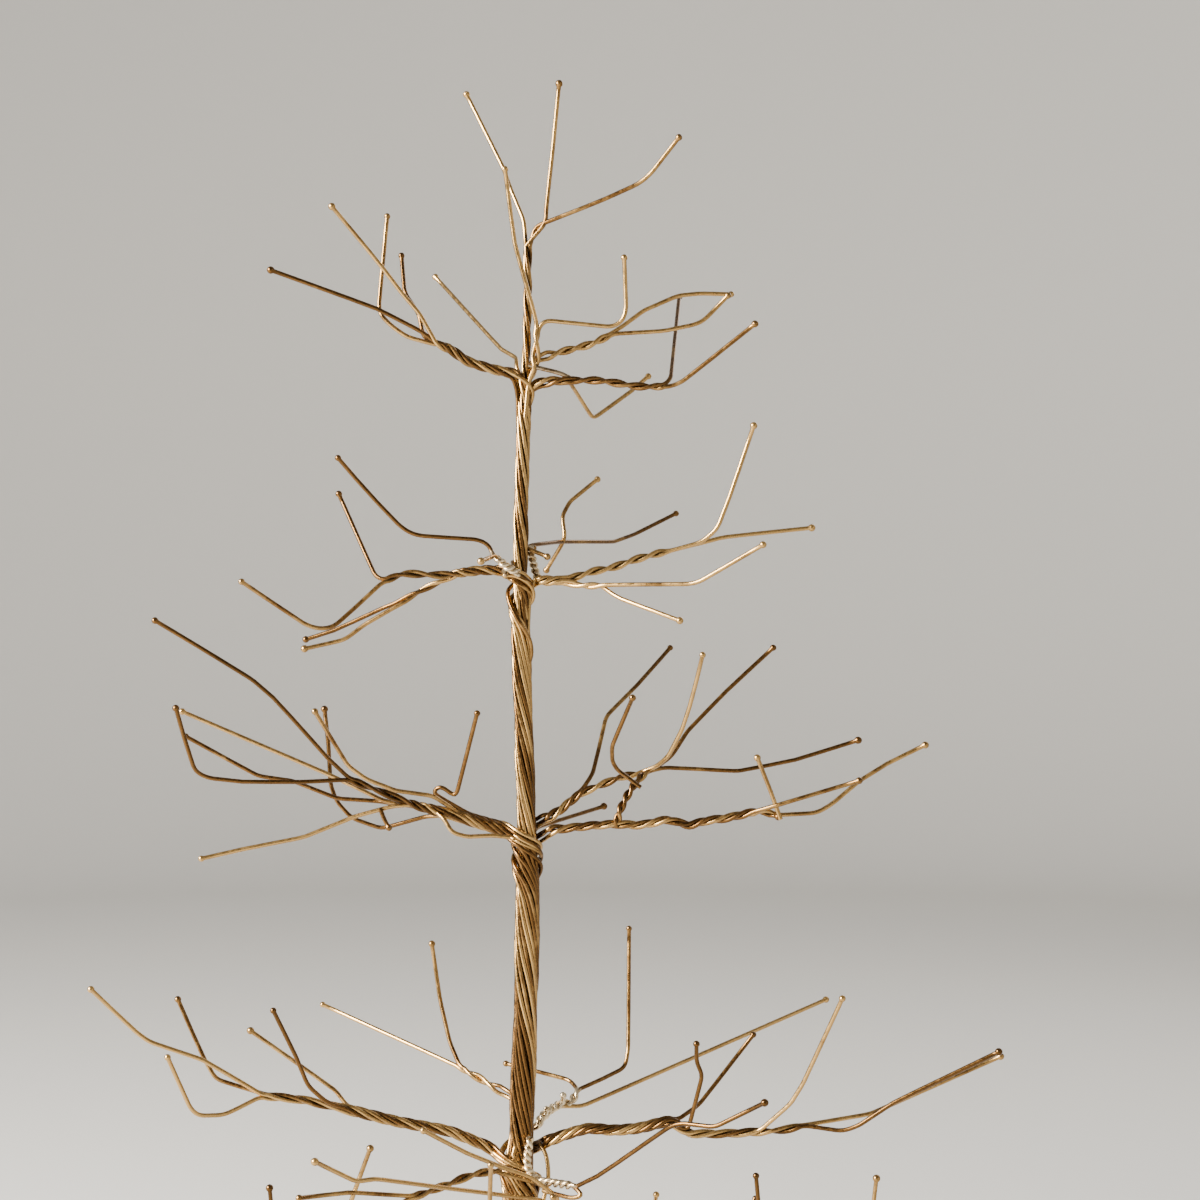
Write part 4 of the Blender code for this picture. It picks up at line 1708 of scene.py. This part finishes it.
@dataclass(frozen=True)
class PatinatedTurnedBrass(Finish):
    """Turned brass, darkened chemically and waxed: a deep brown with fine turning rings, paler on its edges.

    Sizes in mm.
    """

    name: ClassVar[str] = "turned brass, dark patina"
    dark: str = "#4A3420"
    brown: str = "#7A5630"
    bright: str = "#C39A5E"
    stops: Span = (0.3, 0.75)
    blotch: float = 30.0
    blotch_fineness: Span = (5.0, 0.6)
    ring: float = 0.9
    ring_wobble: float = 0.6
    ring_detail: float = 1.0
    ring_strength: float = 0.3
    ring_depth: float = 0.04
    rough_from_to: Span = (0.3, 0.7)
    roughness: Span = (0.33, 0.48)

    def paint(self, look: Look) -> None:
        """Feeds the shader of the look."""
        look.material.diffuse_color = linear(self.dark)
        blotch = look.noise(self.blotch, self.blotch_fineness)
        colour = look.ramp(blotch, dict(zip(self.stops, (self.dark, self.brown))))
        look.feed("Base Color", look.covered(colour, self.bright, look.attribute("wear")))
        settings = {
            "wave_type": "RINGS",
            "rings_direction": "Z",
            "Scale": 1 / (self.ring * MM) / WAVE_RATE,
            "Distortion": self.ring_wobble,
            "Detail": self.ring_detail,
        }
        rings = look.add("ShaderNodeTexWave", "Fac", settings, {"Vector": look.place()})
        look.emboss(rings, self.ring_strength, self.ring_depth)
        look.feed("Metallic", 1.0)
        look.feed("Roughness", look.spread(blotch, self.rough_from_to, self.roughness))


@dataclass(frozen=True)
class MattPaper(Finish):
    """Seamless studio paper, matt and off-white."""

    name: ClassVar[str] = "studio paper, matt"
    colour: str = "#C9C7C3"
    roughness: float = 0.85

    def paint(self, look: Look) -> None:
        """Feeds the shader of the look."""
        look.material.diffuse_color = linear(self.colour)
        look.feed("Base Color", linear(self.colour))
        look.feed("Roughness", self.roughness)


def spun(
    name: str,
    profile: Sequence[tuple[float, float]],
    segments: int,
    merged: float,
    look: bpy.types.Material,
) -> bpy.types.Object:
    """Spins a profile round the upright axis, and marks where it turns sharply as worn.

    Args:
        name: The object's name.
        profile: Reach and height of each point, in metres.
        segments: How many steps the spin has.
        merged: Points closer than this are one, in metres.
        look: The material.

    Returns:
        The object.
    """
    mesh = bmesh.new()
    wear = mesh.verts.layers.float.new("wear")
    verts = [mesh.verts.new((reach, 0, height)) for reach, height in profile]
    edges = [mesh.edges.new(pair) for pair in zip(verts, verts[1:])]
    for before, here, after in zip(verts, verts[1:], verts[2:]):
        turn = (here.co - before.co).angle(after.co - here.co, 0.0)
        here[wear] = EDGE_WEAR if turn > WORN_TURN else 0.0
    bmesh.ops.spin(
        mesh,
        geom=verts + edges,
        axis=(0, 0, 1),
        cent=(0, 0, 0),
        angle=math.tau,
        steps=segments,
        use_merge=True,
    )
    bmesh.ops.remove_doubles(mesh, verts=mesh.verts, dist=merged)
    bmesh.ops.recalc_face_normals(mesh, faces=mesh.faces)
    return dressed(name, mesh, look, TURNED_EDGE)


@dataclass
class Base:
    """The turned base, with a collar round the trunk's foot and the solder that holds it. Sizes in mm."""

    diameter: float = 190.0
    thickness: float = 16.0
    foot_edge: float = 2.0
    edge_radius: float = 4.0
    collar_height: float = 6.0
    collar_wall: float = 5.0
    collar_curve_reach: float = 0.9
    collar_band: float = 0.6
    play: float = 0.5
    foot_radius: float = 10.25
    solder_below_rim: float = 0.8
    socket_depth: float = 10.0
    lip: float = 0.8
    segments: int = 128
    arc_steps: int = 8
    merged: float = 0.005
    solder_depth: float = 3.0
    solder_gap: float = 0.02
    solder_inside: float = 2.0
    solder_clings: Span = (0.25, 1.6)
    solder_edge: float = 0.4
    solder_swell: Span = (1.2, 0.5)

    def arc(
        self, centre: tuple[float, float], radius: float, start: float, stop: float
    ) -> list[tuple[float, float]]:
        """Points of a profile along a round stretch, between two angles in degrees."""
        steps = range(self.arc_steps + 1)
        turns = [math.radians(start + (stop - start) * i / self.arc_steps) for i in steps]
        return [(centre[0] + radius * math.cos(t), centre[1] + radius * math.sin(t)) for t in turns]

    def profile(self) -> list[tuple[float, float]]:
        """The turned outline from the underside's centre to the socket's floor."""
        outer = self.diameter / 2
        socket = self.foot_radius + self.play
        collar = socket + self.collar_wall
        top = self.thickness + self.collar_height
        foot = self.foot_edge
        edge = self.edge_radius
        curve = self.collar_height - self.collar_band
        sweep = collar + self.collar_height * self.collar_curve_reach
        lip = self.lip
        return [
            (0, 0),
            *self.arc((outer - foot, foot), foot, -90, 0),
            *self.arc((outer - edge, self.thickness - edge), edge, 0, 90),
            *self.arc((sweep, top - self.collar_band), curve, -90, -180),
            *self.arc((collar - lip, top - lip), lip, 0, 90),
            *self.arc((socket + lip / 2, top - lip / 2), lip / 2, 90, 180),
            (socket, top - self.socket_depth),
            (0, top - self.socket_depth),
        ]

    def turned(
        self, name: str, profile: Sequence[tuple[float, float]], look: bpy.types.Material
    ) -> bpy.types.Object:
        """Turns a profile that is given in mm."""
        metres = [(reach * MM, height * MM) for reach, height in profile]
        return spun(name, metres, self.segments, self.merged * MM, look)

    def build(self, brass: bpy.types.Material, solder: bpy.types.Material) -> list[bpy.types.Object]:
        """Makes the base and the ring of solder in its socket.

        Args:
            brass: The base's material.
            solder: The solder's material.

        Returns:
            The two objects.
        """
        foot = self.foot_radius
        socket = foot + self.play
        level = self.thickness + self.collar_height - self.solder_below_rim
        bottom = level - self.solder_depth
        inside = foot - self.solder_inside
        outside = socket - self.solder_gap
        on_socket, on_trunk = self.solder_clings
        swell, swell_height = self.solder_swell
        ring = [
            (inside, bottom),
            (outside, bottom),
            (outside, level + on_socket),
            (socket - self.solder_edge, level),
            (foot - self.solder_edge, level + swell_height),
            (foot - swell, level + on_trunk),
            (inside, level + on_trunk),
            (inside, bottom),
        ]
        return [self.turned("base_turned", self.profile(), brass), self.turned("base_solder", ring, solder)]


@dataclass(frozen=True)
class Lamp:
    """A soft square light: where it stands, its side, its power in watts, its colour and what it faces."""

    name: str
    place: Bend
    size: float
    power: float
    colour: Bend
    target: Bend = (0.0, 0.0, 0.45)


@dataclass
class Studio:
    """A pale paper floor that curves up into a wall, soft lights and the camera. Lengths in metres."""

    camera_place: Bend = (0.0342, -1.0, 0.558)
    half_field: float = 0.27
    sensor: float = 36.0
    room: float = 4.5
    sweep: float = 1.2
    sweep_steps: int = 12
    wall: float = 4.0
    segments: int = 72
    merged: float = 0.001
    sky: str = "#D4D6DA"
    sky_strength: float = 0.2
    lamps: tuple[Lamp, ...] = (
        Lamp("key", (-1.9, -0.85, 1.35), 1.1, 380.0, (1.0, 0.965, 0.9)),
        Lamp("fill", (1.9, -1.3, 0.9), 1.2, 5.0, (0.95, 0.97, 1.0)),
        Lamp("rim", (1.0, 1.7, 1.5), 1.0, 10.0, (1.0, 0.98, 0.95)),
        Lamp("ceiling", (0.0, 0.4, 3.9), 6.0, 42.0, (1.0, 1.0, 1.0), (0.0, 0.4, 0.0)),
    )

    def build(self) -> None:
        """Makes the floor, the lights, the world and the camera."""
        self.add_floor()
        for lamp in self.lamps:
            self.add_light(lamp)
        world = bpy.data.worlds.new("soft room")
        world.use_nodes = True
        background = world.node_tree.nodes["Background"]
        background.inputs["Color"].default_value = linear(self.sky)
        background.inputs["Strength"].default_value = self.sky_strength
        bpy.context.scene.world = world
        self.add_camera()

    def add_floor(self) -> None:
        """Spins the floor's outline, with its curve up to the wall."""
        turns = [math.pi / 2 * i / self.sweep_steps for i in range(self.sweep_steps + 1)]
        start = self.room - self.sweep
        curve = [(start + self.sweep * math.sin(t), self.sweep * (1 - math.cos(t))) for t in turns]
        outline = [(0.0, 0.0), *curve, (self.room, self.wall)]
        floor = spun("floor", outline, self.segments, self.merged, MattPaper().material())

    def add_light(self, lamp: Lamp) -> None:
        """Adds a light.

        Args:
            lamp: The light.
        """
        data = bpy.data.lights.new(lamp.name, "AREA")
        data.energy = lamp.power
        data.size = lamp.size
        data.color = lamp.colour
        light = bpy.data.objects.new(lamp.name, data)
        light.location = lamp.place
        aim = Vector(lamp.target) - Vector(lamp.place)
        light.rotation_euler = aim.to_track_quat("-Z", "Y").to_euler()
        bpy.context.scene.collection.objects.link(light)

    def add_camera(self) -> None:
        """Adds the camera at the photograph's place, level and facing the back."""
        data = bpy.data.cameras.new("camera")
        data.sensor_width = self.sensor
        data.lens = self.sensor / 2 / self.half_field
        camera = bpy.data.objects.new("camera", data)
        camera.location = self.camera_place
        camera.rotation_euler = (math.radians(90), 0, 0)
        bpy.context.scene.collection.objects.link(camera)
        bpy.context.scene.camera = camera


@dataclass
class WireTree:
    """The whole sculpture."""

    plans: tuple[BranchPlan, ...] = (
        *TIER_6_BRANCHES,
        *TIER_5_BRANCHES,
        *TIER_4_BRANCHES,
        *TIER_3_BRANCHES,
        *TIER_2_BRANCHES,
        *CROWN_BRANCHES,
    )
    gauge: Gauge = field(default_factory=Gauge)
    loose_rounds: int = 3
    seed: int = 11

    def build(self) -> None:
        """Builds and dresses every piece and puts it on the frame."""
        brass = AntiquedBrassWire().material()
        trunk = Trunk(self.gauge, random.Random(self.seed))
        branches: dict[Tier, list[Branch]] = {tier: [] for tier in Tier}
        for plan in self.plans:
            branches[plan.tier].append(Branch(plan, trunk))
        trunk.grow(branches)
        skins: dict[str, list[bpy.types.Mesh]] = {"trunk": trunk.skins}
        for group in branches.values():
            for branch in group:
                branch.build()
                skins.setdefault(branch.plan.node, []).extend(branch.skins)
        for plan in LOOSE_WIRES:
            skins[plan.node].append(self.loose(plan, trunk.chance.random()))
        for node, parts in skins.items():
            self.set_on(piece(f"{node}_wires", parts, brass), "brass_wire", node)
        self.set_on(trunk.core(brass), "brass_wire")
        base, solder = Base().build(PatinatedTurnedBrass().material(), TinSolder().material())
        self.set_on(base, "base", "base")
        self.set_on(solder, None)

    def loose(self, plan: LooseWire, tone: float) -> bpy.types.Mesh:
        """Makes the skin of a loose wire.

        Args:
            plan: The wire.
            tone: How light or dark it is, from 0 to 1.

        Returns:
            The skin.
        """
        lift = Vector((0, 0, plan.tier.value))
        line = Line()
        line.add((Vector(plan.bends[0]) + lift) * MM, Vector(), 1.0)
        line.add_free([(Vector(bend) + lift) * MM for bend in plan.bends[1:]], self.gauge.step * MM)
        line.relax(self.loose_rounds)
        line.solder = [plan.soldered] * len(line.points)
        return swept(Wire(line, self.gauge, tone, plan.start, plan.end).rings(), self.gauge, tone)

    def set_on(self, made: bpy.types.Object, slot: str | None, *nodes: str) -> None:
        """Puts a piece on the frame and reports it.

        Args:
            made: The piece.
            slot: The material slot of the record, or None; not used.
            nodes: The nodes that it stands for.
        """
        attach(made, "root")
        if nodes:
            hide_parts(*nodes)
        LOG.info("%s: %d faces", made.name, len(made.data.polygons))


def main() -> None:
    """Builds the studio and the tree."""
    logging.basicConfig(level=logging.INFO, format="%(message)s")
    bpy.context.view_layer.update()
    Studio().build()
    WireTree().build()


if __name__ == "__main__":
    main()
